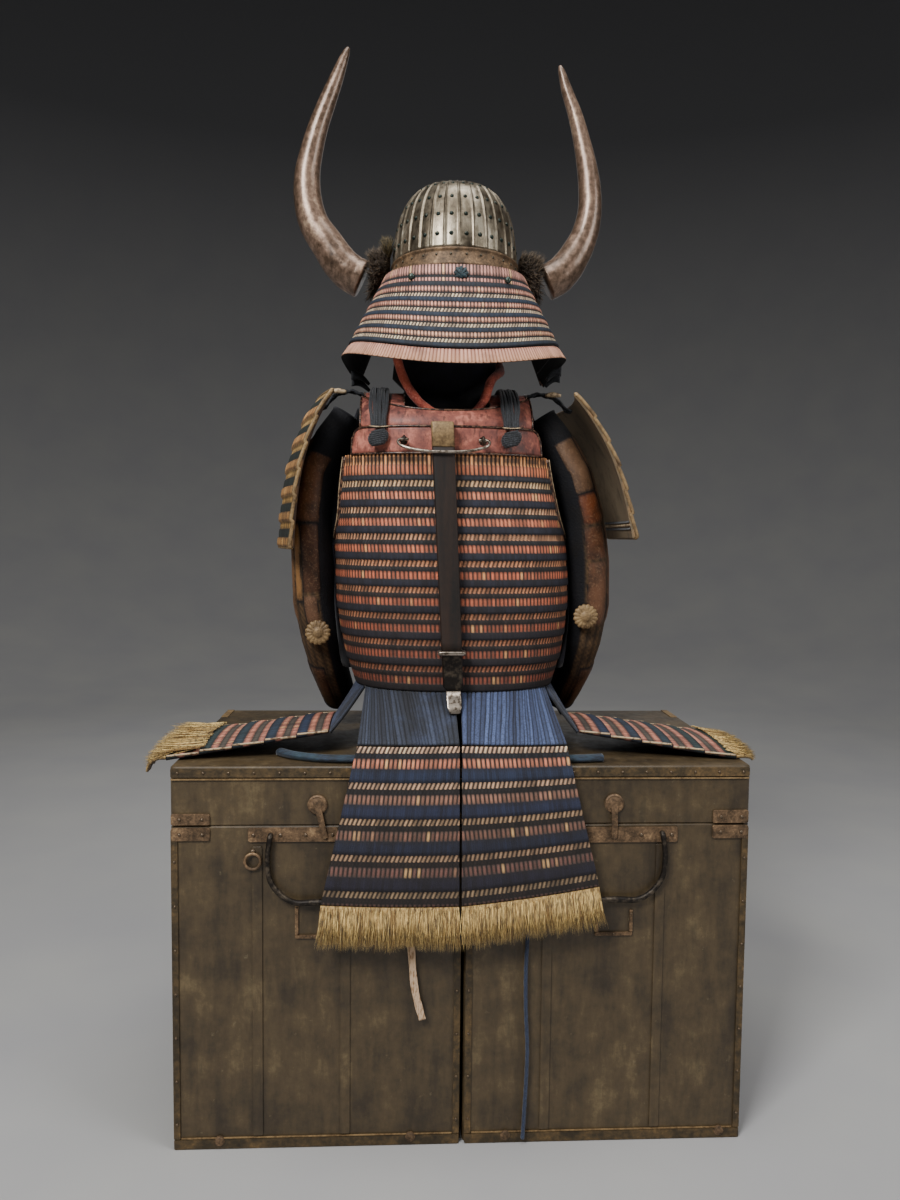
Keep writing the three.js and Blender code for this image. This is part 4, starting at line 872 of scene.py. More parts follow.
def lace_row(phase, lame, band, t, lames, seed):
    _, _, kind, rise, tints = band
    place = min(lame / max(math.ceil(lames) - 1, 1), 1) * (len(tints) - 1)
    low = min(int(place), max(len(tints) - 2, 0))
    colour = np.array(mix(hue(tints[low]), np.array(tone(tints[min(low + 1, len(tints) - 1)])),
                          place - low))
    # Each kind below works out a share that fades the band's colour to this near-black. The share rises and falls
    # with each cord's rounded shape, as painted light on the crests and painted shade in the gaps, and the factor
    # shade darkens the top and bottom of every row as painted shade between rows.
    dark = hue("#0b0707")
    whole = np.floor(phase)
    part = phase - whole
    vary = speckle(whole, lame + 1, seed)
    end = math.sin(math.pi * min(max(t, 0), 1)) ** 0.4 if 0 < t < 1 else 0
    shade = 0.3 if t < 0.12 or t > 0.88 else 1.0
    if kind == "bars":
        crest = np.sin(np.pi * part) ** 0.6
        height, gloss = rise + 1.3 * crest * (0.4 + 0.6 * end), 0.9 * crest
        share = np.clip(crest * 2.4 - 1.35, 0.02, 1) * (0.6 + 0.85 * vary) * (0.4 + 0.6 * shade)
        # A pale gold on a few bars, laid only on their crests: partly their own tone, partly a painted highlight.
        pale = np.clip((vary - 0.9) * 7, 0, 0.6)[..., None] * crest[..., None]
        colour = colour + (hue("#f0c27a") - colour) * pale
    elif kind == "dashes":
        crest = np.sin(np.pi * part) ** 3
        gap = 0.25 if 0.2 < t < 0.9 else 1.0
        height, share, gloss = rise + 0.9 * crest, crest * (0.7 + 0.5 * vary) * mix(gap, 1, vary > 0.72), 0.7 * crest
    elif kind == "hooks":
        lean = (phase + 0.45 * t) % 1
        crest = np.sin(np.pi * lean) ** 1.5
        height, share, gloss = rise + 1.0 * crest * (0.3 + 0.7 * end), crest ** 2.2 * (0.5 + 1.0 * vary), 0.6 * crest
    elif kind == "twist":
        bump = np.sin(np.pi * ((phase * 1.31 + 0.7 * t) % 1))
        height, gloss = rise + 0.5 * end + 0.6 * bump, 0.1
        share = (0.1 + 0.7 * bump * (0.4 + 1.1 * vary)) * (0.25 + 0.75 * shade)
    elif kind == "silk":
        pleat = np.sin(np.pi * ((phase * 0.5 + 0.08 * speckle(whole, lame, 3)) % 1)) ** 0.4
        height, gloss = rise + 0.5 * pleat * end, 0.1
        share = (0.35 + 0.65 * pleat * (0.5 + 0.7 * vary)) * (0.25 + 0.75 * shade)
    else:
        fine = np.sin(np.pi * ((phase * 2) % 1)) ** 0.5
        vary = speckle(np.floor(phase * 2), lame + 1, seed)
        height, gloss = rise + 0.4 * fine + 0.7 * end, 0.15
        share = (0.1 + 0.35 * fine + 0.45 * vary) * (0.2 + 0.8 * shade)
    tint = dark + (colour - dark) * np.asarray(share)[..., None]
    return height, np.clip(tint, 0, 1), gloss


def laced_panel(name, surface, lames, bands, pitch, columns, side, nodes, thick, first, seed, inner_tint):
    rows = band_rows(lames, bands, first)
    u, v = grid(even(columns + 1), [r[0] for r in rows])
    points = surface(u, v)
    across = np.concatenate([np.zeros((len(rows), 1)),
                             np.cumsum(np.linalg.norm(np.diff(points, axis=1), axis=-1), axis=1)], axis=1)
    across -= across[:, columns // 2][:, None]
    height, tint, gloss = np.zeros(u.shape), np.zeros(points.shape), np.zeros(u.shape)
    for i, (_, lame, band, t) in enumerate(rows):
        wave = 0.12 * np.sin(across[i] / 23 + lame * 1.7)
        height[i], tint[i], gloss[i] = lace_row(across[i] / pitch + 500 + wave, lame, band, t, lames, seed)
    height[-1] = 0.3
    piece = shell(name, points, "laced", thick, side, height, tint, inner_tint, gloss, coarse=(1, 6))
    dress(piece, "lacing", *nodes)
    return piece


BODY_BANDS = [
    (0.02, 0.22, "hooks", 0.7, ("#ffd49c", "#f6b88c", "#dc9468", "#b87650", "#a06040")),
    (0.23, 0.41, "twist", 1.7, ("#3c4044", "#36383c", "#382e2c", "#322624")),
    (0.43, 0.70, "bars", 1.5, ("#ff9c74", "#fa8c64", "#dc7450", "#b45c3e", "#984a34")),
    (0.71, 1.00, "braid", 2.4, ("#2e3244", "#282c3c", "#272632", "#251f22")),
]
TOP_BANDS = [
    (0.02, 0.40, "dashes", 1.0, ("#ffae6c",)),
    (0.42, 0.78, "bars", 1.8, ("#f88c5c",)),
    (0.80, 1.00, "braid", 2.1, ("#34363f",)),
]
REAR_BANDS = [
    (0.00, 0.17, "hooks", 1.2, ("#ffd0ac", "#dcb08c", "#c09a74", "#ac8868", "#9c8060")),
    (0.17, 0.33, "twist", 1.0, ("#2a2e38", "#2b2522", "#2a201c", "#281c1a")),
    (0.35, 0.58, "bars", 1.4, ("#e48c6c", "#a0705c", "#885c4c", "#704840", "#603c38")),
    (0.60, 1.00, "braid", 2.2, ("#2c3854", "#28304c", "#20263c", "#201e30", "#201a28")),
]
SIDE_BANDS = [
    (0.00, 0.20, "bars", 1.0, ("#d88c78", "#f0a088")),
    (0.22, 0.42, "silk", 1.8, ("#564c44", "#5c554c")),
    (0.44, 0.63, "bars", 2.6, ("#e8967c", "#f8a088")),
    (0.66, 1.00, "silk", 3.8, ("#2c3850", "#34463f")),
]
GUARD_BANDS = [
    (0.00, 0.26, "twist", 0.6, ("#e8bc78", "#d0a058")),
    (0.28, 0.60, "braid", 2.2, ("#26332c", "#29332e")),
    (0.62, 0.96, "bars", 4.0, ("#e0a468", "#c08c50")),
]


def make_cuirass(sizes):
    for half, turn, columns, seed in (("back", 0, 390, 1), ("front", math.pi, 180, 2)):
        def surface(u, v, half=half, turn=turn):
            z = mix(CUIRASS["top"], CUIRASS["hem"], v)
            return cuirass_point(turn + np.radians(armhole_reach(z, half)) * (2 * u - 1), z)
        laced_panel(f"laced_{half}", surface, 9, BODY_BANDS, sizes.scale_pitch / MM, columns, -1,
                    [f"cuirass_{half}"], CUIRASS["wall"], [TOP_BANDS], seed, tone("#2a1a14"))
        bodies, cords = [], []
        for side in (-1, 1):
            zs = np.linspace(CUIRASS["top"] - 2, 912, 22)
            reach = np.radians(armhole_reach(zs, half)) * side
            edge = cuirass_point(turn + reach, zs)
            out = edge - stack(trunk(zs, 3), MIDDLE_Y, zs)
            out = unit(out)
            bodies.append(tube(edge + out * 1.6, (4.6, 2.6), 12,
                                                 tuple(out[0]), 2.6))
            far = cuirass_point(turn + reach * 1.012, zs) + out * 3.4
            cords.append(tube(far, (1.3, 1.3), 8, tuple(out[0])))
        for kind, parts, coat in (("edge", bodies, "edging"), ("edge_cord", cords, "pale_leather")):
            piece = new_piece(f"armhole_{kind}_{half}", *merged(parts), coat)


def make_plates():
    s, v = grid(np.linspace(-1, 1, 81), even(9))
    plate = plate_point(s, v) - np.array([0, PLATE["wall"], 0])
    crown = 0.8 * np.sin(np.pi * v) * np.cos(s * 1.4)
    piece = shell("back_plate_leather", plate, "lacquer", PLATE["wall"], -1, crown, coarse=(2, 4))
    dress(piece, "lacquer", "back_plate")
    line = np.linspace(-1, 1, 61)
    edge_top = plate_point(line, np.zeros(61))
    loop = np.concatenate([plate_point(-np.ones(6), np.linspace(1, 0.15, 6)), edge_top,
                           plate_point(np.ones(6), np.linspace(0.15, 1, 6)),
                           plate_point(line[::-1], np.ones(61))])
    bodies = [rim(loop - np.array([0, PLATE["wall"] + 0.6, 0]), 1.7)]

    s, v = grid(np.linspace(-1, 1, 81), even(13))
    piece = shell("collar_leather", collar_point(s, v), "lacquer", COLLAR["wall"], -1, coarse=(2, 4))
    dress(piece, "lacquer", "collar_plate")
    loop = np.concatenate([collar_point(-np.ones(7), np.linspace(1, 0.1, 7)), collar_point(line, np.zeros(61)),
                           collar_point(np.ones(7), np.linspace(0.1, 1, 7))])
    bodies.append(rim(loop - np.array([0, 0.8, 0]), 1.6))

    u, v = grid(even(49), even(9))
    angle = np.pi + np.radians(41) * (2 * u - 1)
    front = cuirass_point(angle, mix(1082 - 14 * (1 - (2 * u - 1) ** 2), 1043.5, v))
    piece = shell("chest_plate_leather", front, "lacquer", PLATE["wall"], -1, 0.6, coarse=(2, 4))
    dress(piece, "lacquer", "chest_plate")
    bodies.append(rim(np.concatenate([front[:, 0][::-1], front[0], front[:, -1]]) + np.array([0, 0.8, 0]), 1.7))

    def strap_grid(side):
        line = [Vector(p) for p in smooth_path(
            [(0, -92, 1132), (0, -66, 1143), (0, -40, 1147.6), (0, -8, 1148.4), (0, 26, 1147), (0, 60, 1130),
             (0, 88, 1100), (0, 99, 1080.5)], 12)]
        middle = trunk(CUIRASS_SECTIONS[-1][0], 3) + side * STRAP["out"]
        rows = []
        for v in even(37):
            place = v * 12
            i = min(int(place), 11)
            point = line[i].lerp(line[i + 1], place - i)
            xs = middle + np.linspace(-0.5, 0.5, 13) * STRAP["width"]
            row = stack(xs, point.y, point.z)
            out = (xs - trunk(CUIRASS_SECTIONS[-1][0], 3)) / COLLAR["half_width"]
            collar = collar_point(out, np.zeros(13)) + np.array([0, 1.5, 1.9])
            rows.append(row + (collar - row) * max(1 - v / 0.22, 0) ** 2)
        return np.array(rows)
    for name, side in SIDES:
        rows = strap_grid(side)
        piece = shell(f"strap_{name}_leather", rows, "lacquer", STRAP["wall"], 1, coarse=(2, 2))
        dress(piece, "lacquer", f"shoulder_strap_{name}")
        for column in (0, -1):
            bodies.append(rim(rows[1:-1, column] + np.array([0, 0, 0.6]), 1.3))
    trim("plate_rims", bodies, "edging")


CORD_ROWS = [(-20, 1153, 4), (-52, 1153, 4), (-82, 1147, 4), (-112, 1133, 4), (-134, 1112, 4), (-145, 1094, 4),
             (-148, 1081, 3)]


def make_shoulder_cords():
    for name, x, shift in (("left", -120, 9.1), ("right", 82, 5.8)):
        bodies = []
        for k in range(6):
            off = (k - 2.5) * 4.7
            lift = 0.5 * math.sin(k * 2.4)
            path = smooth_path([(x + off * (1 if i < 5 else 0.86) + 0.9 * math.sin(i * 1.3 + k * 2.1),
                                 y + shift - lift, z + lift) for i, (y, z, _) in enumerate(CORD_ROWS)], 30)
            bodies.append(tube(path, (2.7, 3.2), 10, UP))
        middle = np.array([x, -149 + shift, 1066])
        for turn in range(7):
            at = (turn - 3) * 3.0
            wide = 13.5 * math.sqrt(1 - (at / 12) ** 2)
            loop = [middle + np.array([wide * math.cos(a), 5.2 * math.sin(a) - 1,
                                       at + 0.22 * wide * math.cos(a)])
                    for a in np.linspace(0, 2 * math.pi, 21)]
            bodies.append(tube(loop, (2.5, 2.6), 8, UP))
        tie = [middle + np.array([14 * math.cos(a), -1 + 5.5 * math.sin(a), 15.5 + 1.5 * math.cos(a) ** 2])
               for a in np.linspace(math.pi, 2 * math.pi, 15)]
        new_piece(f"cord_tie_{name}", *rim(tie, 0.9, 6, UP), "pale_leather")
        piece = new_piece(f"cord_bunch_{name}", *merged(bodies), "cord")
        dress(piece, "cord", f"shoulder_cords_{name}")


def pole_x(z):
    return mix(POLE["bottom_x"], POLE["top_x"], (z - 690) / (1063 - 690))


def bar(name, rows, finish_name, nodes):
    """A bar down the back with soft corners: rows of z, near y, far y and share of the width."""
    rings = []
    for z, near, far, wide in rows:
        x, y = oval(turns(32, 0.5), POLE["width"] / 2 * wide, (far - near) / 2, 7)
        rings.append(stack(pole_x(z) + x, (near + far) / 2 + y, z))
    piece = new_piece(name, *rings_body(rings), finish_name)
    if nodes:
        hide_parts(*nodes)
    return piece


def make_back_fittings():
    front, back = POLE["back"] - POLE["thick"], POLE["back"]
    far = plate_point(0.0, 0.5)[1] - PLATE["wall"] - 1.2
    top = POLE["top"] + SEAM
    bar("bracket_plate", [(top, front + 2, far, 0.94), (top + 1.2, front + 1, far, 1), (1086.6, front + 1, far, 1),
                          (1088, front + 2, far, 0.94)], "brass", ["pole_bracket"])
    bar("pole_wood", [(z, front, back, mix(0.92, 1, (z - POLE["bottom"]) / 305)) for z in
                      np.linspace(POLE["bottom"], POLE["top"], 24)], "wood", ["pole"])
    rim_z = POLE["bottom"] - SEAM
    bar("socket_iron", [(684, -170, -160, 0.62), (690, -171, -156, 0.9), (rim_z - 7, front, back, 0.9),
                        (rim_z - 6.4, front - 1, back + 1, 1.0)], "dark_iron", ["pole_socket"])
    bar("socket_rim", [(rim_z - 6.2, front - 2, back + 2, 1.2), (rim_z - 4, front - 3, back + 2.5, 1.25),
                       (rim_z - 1, front - 3, back + 2.5, 1.25), (rim_z, front - 2, back + 2, 1.2)],
        "bright_metal", [])
    bar("socket_tongue", [(652, -186.5, -183, 0.34), (654, -187, -182.5, 0.5), (662, -181, -176, 0.64),
                          (674, -174, -168, 0.66), (683.6, -171, -163, 0.66)], "bright_metal", [])
    middle, half = (BAIL["left_x"] + BAIL["right_x"]) / 2, (BAIL["right_x"] - BAIL["left_x"]) / 2
    hang = [(half - 7, 0), (half + 5, 0), (half + 9, 0.12), (half + 7, 0.42), (half - 8, 0.74), (half * 0.45, 0.95),
            (0, 1)]
    out_y, out_z = -0.72 * BAIL["drop"], -0.7 * BAIL["drop"]
    right = [(middle + x, BAIL["axis_y"] + o * out_y, BAIL["axis_z"] + o * out_z) for x, o in hang]
    left = [(middle - x, BAIL["axis_y"] + o * out_y, BAIL["axis_z"] + o * out_z) for x, o in hang[:-1]][::-1]
    wire = BAIL["wire"]
    piece = sweep("bail_wire", smooth_path(right + left, 80), lambda t, i: (wire, wire), "bright_metal",
                  BAIL_BODY, reference=UP)
    dress(piece, "dark_iron", "bail")
    bodies = []
    for x in (BAIL["left_x"], BAIL["right_x"]):
        ring = [Vector((x, BAIL["axis_y"] + 4.9 * math.cos(a), BAIL["axis_z"] + 4.9 * math.sin(a)))
                for a in np.linspace(0, 2 * math.pi, 25)]
        bodies.append(rim(ring, 1.9, 8, (1, 0, 0)))
        plate_y = plate_point((x + 15) / PLATE["half_width"], 0.5)[1] - PLATE["wall"]
        bodies.append(disc(x, BAIL["axis_z"], 16, ((6.5, plate_y + 1), (6.5, plate_y - 1.2), (3, plate_y - 3.2),
                                                   (2.4, BAIL["axis_y"] + 4))))
    trim("bail_studs", bodies, "dark_iron")


def string_panel(name, surface, count, side, nodes, tints, seed, sag=0, loose=0.0):
    """Flat cords side by side, some over their neighbours."""
    per = 8
    rows = 26
    edges = np.cumsum(np.concatenate([[0], 0.6 + 0.8 * speckle(np.arange(count), seed)]))
    edges /= edges[-1]
    us = np.concatenate([np.linspace(edges[k], edges[k + 1], per, endpoint=False) for k in range(count)] + [[1.0]])
    u, v = grid(us, even(rows))
    cord_of = np.minimum(np.arange(len(us)) // per, count - 1)
    part = np.where(np.arange(len(us)) < count * per, (np.arange(len(us)) % per) / per, 1)
    shift = loose * np.sin(v * 5 + speckle(cord_of, seed, 7) * 6.3) * np.sin(np.pi * v) * np.sin(np.pi * u)
    points = surface(np.clip(u + shift, 0, 1), v)
    points[..., 2] -= sag * np.sin(np.pi * v) * (0.6 + 0.4 * speckle(cord_of, seed, 5))
    lift = 1.3 * speckle(cord_of, seed, 2) * np.sin(np.pi * np.clip(v * 1.05, 0, 1)) ** 0.5
    profile = (1 - np.abs(2 * part - 1) ** 5) * 2.1
    height = 0.2 + profile + lift * (1 - np.abs(2 * part - 1) ** 8)
    first, second = (hue(c) for c in tints)
    share = (speckle(cord_of, seed, 3) * 0.8 + 0.2 * v)[..., None]
    light = (0.04 + 0.96 * profile / 2.1) * (0.55 + 0.75 * speckle(cord_of, seed, 9))
    tint = (first + (second - first) * share) * light[..., None]
    piece = shell(name, points, "silk", 2.4, side, height, tint, tone("#14151c"), coarse=(5, per))
    dress(piece, "strings", *nodes)
    return piece


def fringe(name, surface, side, node, count, length, sizes, seed, out=(0, 0, 0), back=0.0):
    """Hair: a thick tapering backing and many loose ends over it."""
    u, v = grid(even(161), even(9))
    uneven = 0.84 + 0.1 * speckle(np.round(u * 20), seed)
    points = surface(u, v * uneven)
    comb = np.sin(u * 251 + 3 * np.sin(u * 17)) * 0.5 + 0.5 * np.sin(u * 97)
    height = (1.2 + 0.9 * comb) * (1 - 0.6 * v)
    # The backing's tint is darker in the grooves between the combed ridges, as painted shade, and darker towards the
    # roots.
    light, dark = hue("#dcb874"), hue("#7a5828")
    tint = light + (dark - light) * (np.clip(0.5 - 0.5 * comb, 0, 1) * 0.5 + 0.25 * (1 - v))[..., None]
    piece = shell(name, points, "hair", 3.2, side, height, tint, tone("#5a4426"), coarse=(2, 8))
    dress(piece, "hair", node)
    rng = np.random.default_rng(seed)
    places = []
    for _ in range(int(count * sizes.hair_density)):
        uu = np.array(rng.random())
        start = rng.random() * (0.5 + back) - back
        base = surface(uu, np.array(start))
        ahead = surface(uu, np.array(min(start + 0.4, 1.0)))
        way = (ahead - base) / np.linalg.norm(ahead - base)
        way = way + rng.normal(0, 0.035, 3) + np.array(out) * rng.random() * 0.05
        clump = 0.88 + 0.14 * float(speckle(round(float(uu) * 26), seed))
        size = length * (1.0 - start * 0.9) * clump * (0.82 + 0.2 * rng.random())
        lift = np.array(out) * (1.6 + 1.4 * rng.random())
        shade = mix(hue("#ffdc8c"), hue("#7a541f"), rng.random() ** 1.1)
        places.append((base + lift, way, rng.random() * 6.28, size, shade))
    piece = repeat(name + "_ends", strand(0.1, sizes.hair_thickness / MM / length), places, "hair")


STRING_SHARE = 2 / 6.42


def make_hung_tassets(sizes):
    for name in HUNG_TASSETS:
        strings, lames, hair = hung_surfaces(name)
        rear = name.startswith("rear")
        side = -1 if rear else 1
        out = (0, -1 if rear else 1, 0)
        seed = 11 + len(name) + 3 * name.count("l")
        if rear:
            laced_panel(f"laced_{name}", lames, 4.42, REAR_BANDS, sizes.scale_pitch / MM, 192, side,
                        [f"tasset_{name}"], 3, (), seed, tone("#221611"))
            # The same cords get a darker pair of tints on the left and a lighter, bluer pair on the right: painted
            # light falling off towards the left.
            tints = ("#1e212c", "#3a4254") if name == "rear_left" else ("#2a3350", "#54648e")
            string_panel(f"cords_{name}", strings, 26, side, [f"strings_{name}"], tints, seed, 0, 0.006)
        else:
            def whole(u, v, strings=strings, lames=lames):
                upper = strings(u, np.clip(v / STRING_SHARE, 0, 1))
                lower = lames(u, np.clip((v - STRING_SHARE) / (1 - STRING_SHARE), 0, 1))
                return np.where((v < STRING_SHARE)[..., None], upper, lower)
            cords = [[(0.0, 1.0, "silk", 0.6, ("#33405c",))], [(0.0, 0.96, "silk", 0.6, ("#33405c",))]]
            laced_panel(f"laced_{name}", whole, 6.42, REAR_BANDS, sizes.scale_pitch / MM, 64, side,
                        [f"tasset_{name}"], 3, cords, seed, tone("#221611"))
        fringe(f"hair_{name}", hair, side, f"fringe_{name}", 1500 if rear else 700, 62, sizes, seed, out)


def make_side_tassets(sizes):
    for name, side in SIDES:
        strings, lames, hair = side_surfaces(side)
        laced_panel(f"laced_side_{name}", lames, 5, SIDE_BANDS, 5.2, 120, -side, [f"tasset_side_{name}"], 3,
                    (), 5 + side, tone("#16171f"))
        string_panel(f"cords_side_{name}", strings, 22, -side, [f"strings_side_{name}"],
                     ("#171a24", "#343b50"), 31 + side, 3, 0.02)
        fringe(f"hair_side_{name}", hair, -side, f"fringe_side_{name}", 1400, 40, sizes, 41 + side, UP,
               0.95 if side < 0 else 0.25)
        bodies = []
        for edge in (0.0, 1.0):
            for lame in range(5):
                vs = np.linspace(lame / 5 + 0.004, (lame + 1) / 5 - 0.004, 7)
                line = lames(np.full(7, edge), vs) + stack(0 * vs, 0 * vs, np.linspace(0.4, 3.6, 7))
                bodies.append(tube(line, (1.1, 1.6), 8, UP))
        trim(f"side_edge_{name}", bodies, "pale_leather")


# Splints: from, to in turns from the rear, top, bottom, colour
FRONT_SPLINTS = [
    (0.235, 0.315, 0.12, 0.6, "#5d3c24"), (0.33, 0.41, 0.12, 0.6, "#553420"), (0.425, 0.49, 0.14, 0.6, "#4a2e1c"),
    (0.18, 0.33, 0.745, 0.98, "#553824"), (0.35, 0.48, 0.745, 0.98, "#4a2e1c"),
]
SPLINTS = {
    "left": [
        (-0.075, 0.115, 0.17, 0.345, "#5e3a20"), (-0.06, 0.06, 0.35, 0.52, "#4a2c18"),
        (0.07, 0.13, 0.35, 0.545, "#8a6238"), (-0.03, 0.06, 0.53, 0.6, "#6a4a34"),
        (0.02, 0.16, 0.745, 0.98, "#4c3222"), (0.13, 0.22, 0.13, 0.34, "#553420"),
        (0.14, 0.22, 0.36, 0.6, "#75502e"),
        *FRONT_SPLINTS],
    "right": [
        (-0.045, 0.115, 0.115, 0.272, "#6a4f3a"), (-0.04, 0.118, 0.278, 0.35, "#6e3a1e"),
        (-0.04, 0.12, 0.356, 0.438, "#5e3a24"), (-0.035, 0.12, 0.445, 0.6, "#64422c"),
        (0.02, 0.16, 0.745, 0.98, "#4c3222"), (0.13, 0.22, 0.12, 0.34, "#5a4230"),
        (0.135, 0.22, 0.36, 0.6, "#5c3c28"),
        *FRONT_SPLINTS],
}


def make_sleeves():
    for name, side in SIDES:
        u, v = grid(np.arange(120) / 120, even(115))
        middle, across, along, half_x, half_y = sleeve_frame(side, v)
        x, y = oval(2 * np.pi * u, half_x + 2, half_y + 2, 2.2)
        points = middle + across * x[..., None] + along * y[..., None]
        turn = (u if side > 0 else 0.5 - u) % 1
        turn = np.where(turn > 0.9, turn - 1, turn)
        height, gloss = np.zeros(u.shape), np.zeros(u.shape)
        cloth = hue("#0c0c12")
        mail = np.clip(np.minimum(turn + 0.06, 0.5 - turn) / 0.02, 0, 1) * np.clip((v - 0.3) / 0.04, 0, 1)
        rings = np.abs(np.sin(turn * 430) * np.sin(v * 150 + 0.5 * np.round(turn * 137)))
        tint = cloth + (hue("#6a5034") * (0.25 + 0.75 * rings[..., None]) - cloth) * mail[..., None]
        height += 0.5 * rings * mail
        for start, end, low, high, shade in SPLINTS[name]:
            start = start + 0.004 * np.sin(v * 31)
            inside = np.clip(np.minimum(turn - start, end - turn) / 0.008, 0, 1)
            mask = inside * np.clip(np.minimum(v - low, high - v) / 0.006, 0, 1)
            middle_part = np.clip(1 - np.abs(2 * (turn - start) / (end - start) - 1) ** 3, 0, 1)
            stitch = np.clip(1 - np.minimum(v - low, high - v) / 0.035, 0, 1) * (np.sin(turn * 300 + v * 260) > 0)
            wrinkle = 0.35 * np.sin(v * 190 + 5 * np.sin(turn * 40)) + 0.3 * np.sin(v * 61 + turn * 22)
            height = np.where(mask > 0, mask * (1.4 + 0.5 * middle_part + 0.25 * wrinkle - 0.5 * stitch), height)
            gloss = np.maximum(gloss * (mask == 0), mask * 0.9)
            # Painted light and shade: each splint is lighter along its rounded middle and on its wrinkles and darker
            # towards its sides, the stitched ends are darker too, and a band darker than the cloth is painted round
            # its edge as painted shade.
            near = hue(shade) * (0.45 + 0.75 * middle_part * (1 - 0.55 * stitch)
                                            + 0.2 * wrinkle)[..., None]
            tint = np.where((mask > 0.3)[..., None], near, np.where((mask > 0)[..., None], cloth * 0.5, tint))
        height += (0.9 * np.sin(v * 17 + 6 * u) + 0.5 * np.sin(v * 41 - 9 * u)) * (1 - mail) * (gloss == 0)
        piece = shell(f"sleeve_{name}_cloth", points, "sleeve", 2, -1, height, tint, cloth, gloss, True, (3, 4))
        dress(piece, "sleeve", f"sleeve_{name}")
        rounds = np.linalg.norm(np.roll(points, -1, 1) - points, axis=-1).sum(1)
        us, vs = grid(even(13), even(41))
        z = mix(1126, 700, vs)
        inner_x = np.where(z > 905, trunk(z, 1) - 34,
                           trunk(z, 1) + 0.6)
        rows = np.array(SLEEVE_SECTIONS, float)
        sleeve_x = trunk(z, 1) + 3.2 + column_at(rows[:, [0, 1]], z, 1)
        body_x = trunk(z, 3)
        outer_x = np.maximum(sleeve_x + 1.5 + 16 * np.clip((z - 1060) / 60, 0, 1), inner_x + 1)
        y = -22 - 10 * np.sin(np.pi * us) + 4 * np.sin(z / 23 + 3 * us)
        drop = 26 * us * np.clip((z - 1040) / 80, 0, 1)
        gusset = shell(f"sleeve_{name}_gusset", stack(body_x + side * mix(inner_x, outer_x, us), y, z - drop),
                       "black_cloth", 1.6, -side)
        edge = []
        for row in (0, -1):
            edge.append(rim(np.concatenate([points[row], points[row, :1]]), 1.8, 8, UP))
        trim(f"sleeve_{name}_binding", edge, "black_cloth")
        z = 760 if name == "left" else 789
        half_along = column_at(SLEEVE_SECTIONS, z, 4)
        x0 = {"left": -219, "right": 218}[name]
        rear = column_at(SLEEVE_SECTIONS, z, 2) - half_along - 2.2 - {"left": 6.2, "right": 4.9}[name]
        angle = turns(96)
        rings = []
        for share, depth in ((0.98, 0), (1, 1), (0.96, 2.2), (0.8, 3.2), (0.55, 3.9), (0.42, 4), (0.36, 5.6),
                             (0.2, 6.8), (0.05, 7.1)):
            lobes = 1 - 0.09 * (np.abs(np.cos(8 * angle)) ** 4) * (share > 0.45)
            puff = 0.7 * np.abs(np.sin(8 * angle)) * (0.5 < share < 1)
            rings.append(stack(x0 + 21 * share * lobes * np.cos(angle), rear - depth - puff,
                               z + 21 * share * lobes * np.sin(angle)))
        piece = new_piece(f"rosette_{name}", *rings_body(rings), "brass")
        dress(piece, "brass", f"elbow_rosette_{name}")


def make_guards():
    for name in GUARDS:
        side = GUARDS[name][0]
        # The inner sides differ only in light: the right guard's is painted lighter than the left's, as painted light
        # on it.
        laced_panel(f"laced_guard_{name}", lambda u, v, n=name: guard_point(n, u, v), 6, GUARD_BANDS, 6.4, 150,
                    -side, [f"shoulder_guard_{name}"], 4, (), 51 + side,
                    tone("#3a2414" if side < 0 else "#86745a"))
        bodies = []
        for us, vs in ((np.zeros(85), even(85)), (np.ones(85), even(85)),
                       (even(31), np.zeros(31)), (even(31), np.ones(31))):
            step = 3.6 * ((6 * vs) % 1) * (vs < 0.999)
            line = guard_point(name, us, vs) + side * stack(0.5 + step, 0, 0)
            bodies.append(tube(line, (2.4, 2.9), 10, (1, 0, 0), 2.6))
        trim(f"guard_binding_{name}", bodies, "brass")
        us = np.linspace(0.03, 0.97, 41)
        for colour, v in (("cord", 0.88), ("pale_leather", 0.905), ("cord", 0.93)):
            line = guard_point(name, us, np.full(41, v)) - np.array([side * (GUARD["wall"] + 0.3), 0, 0])
            new_piece(f"guard_line_{name}_{int(v * 1000)}", *tube(
                line, (1.0, 2.0), 8, UP), colour)
        gap = GUARDS[name][6]
        strap_edge = float(trunk(1090, 3)) + side * (STRAP["out"] + STRAP["width"] / 2 + 2.4)
        seat = guard_point(name, 0.5, 0.05)
        face = seat[0] - side * (2 * GUARD["wall"] + SEAM + gap)
        path = smooth_path([(strap_edge, -14, 1147), (mix(strap_edge, face, 0.3), -18, 1153),
                            (mix(strap_edge, face, 0.65), -20, 1146), (face - side * 5, seat[1], seat[2] + 1),
                            (face, seat[1], seat[2])], 40)
        bodies = []
        for k in range(3):
            line = [p + Vector((0, (k - 1) * 5.2, 1.2 * math.sin(i * 0.9 + k * 2))) for i, p in enumerate(path)]
            bodies.append(tube(line, (2.6, 2.9), 8))
        piece = new_piece(f"toggle_cords_{name}", *merged(bodies), "cord")
        dress(piece, "cord", f"guard_toggle_{name}")
        middle = path[18]
        bead = [middle + Vector((side * t, -13, 3 - abs(t) * 0.12)) for t in np.linspace(-13, 13, 11)]
        piece = sweep(f"toggle_{name}", bead, lambda t, i: (4.2 * math.sin(math.pi * mix(0.12, 0.88, t)) ** 0.6,) * 2,
                      "pale_leather", sides=14)


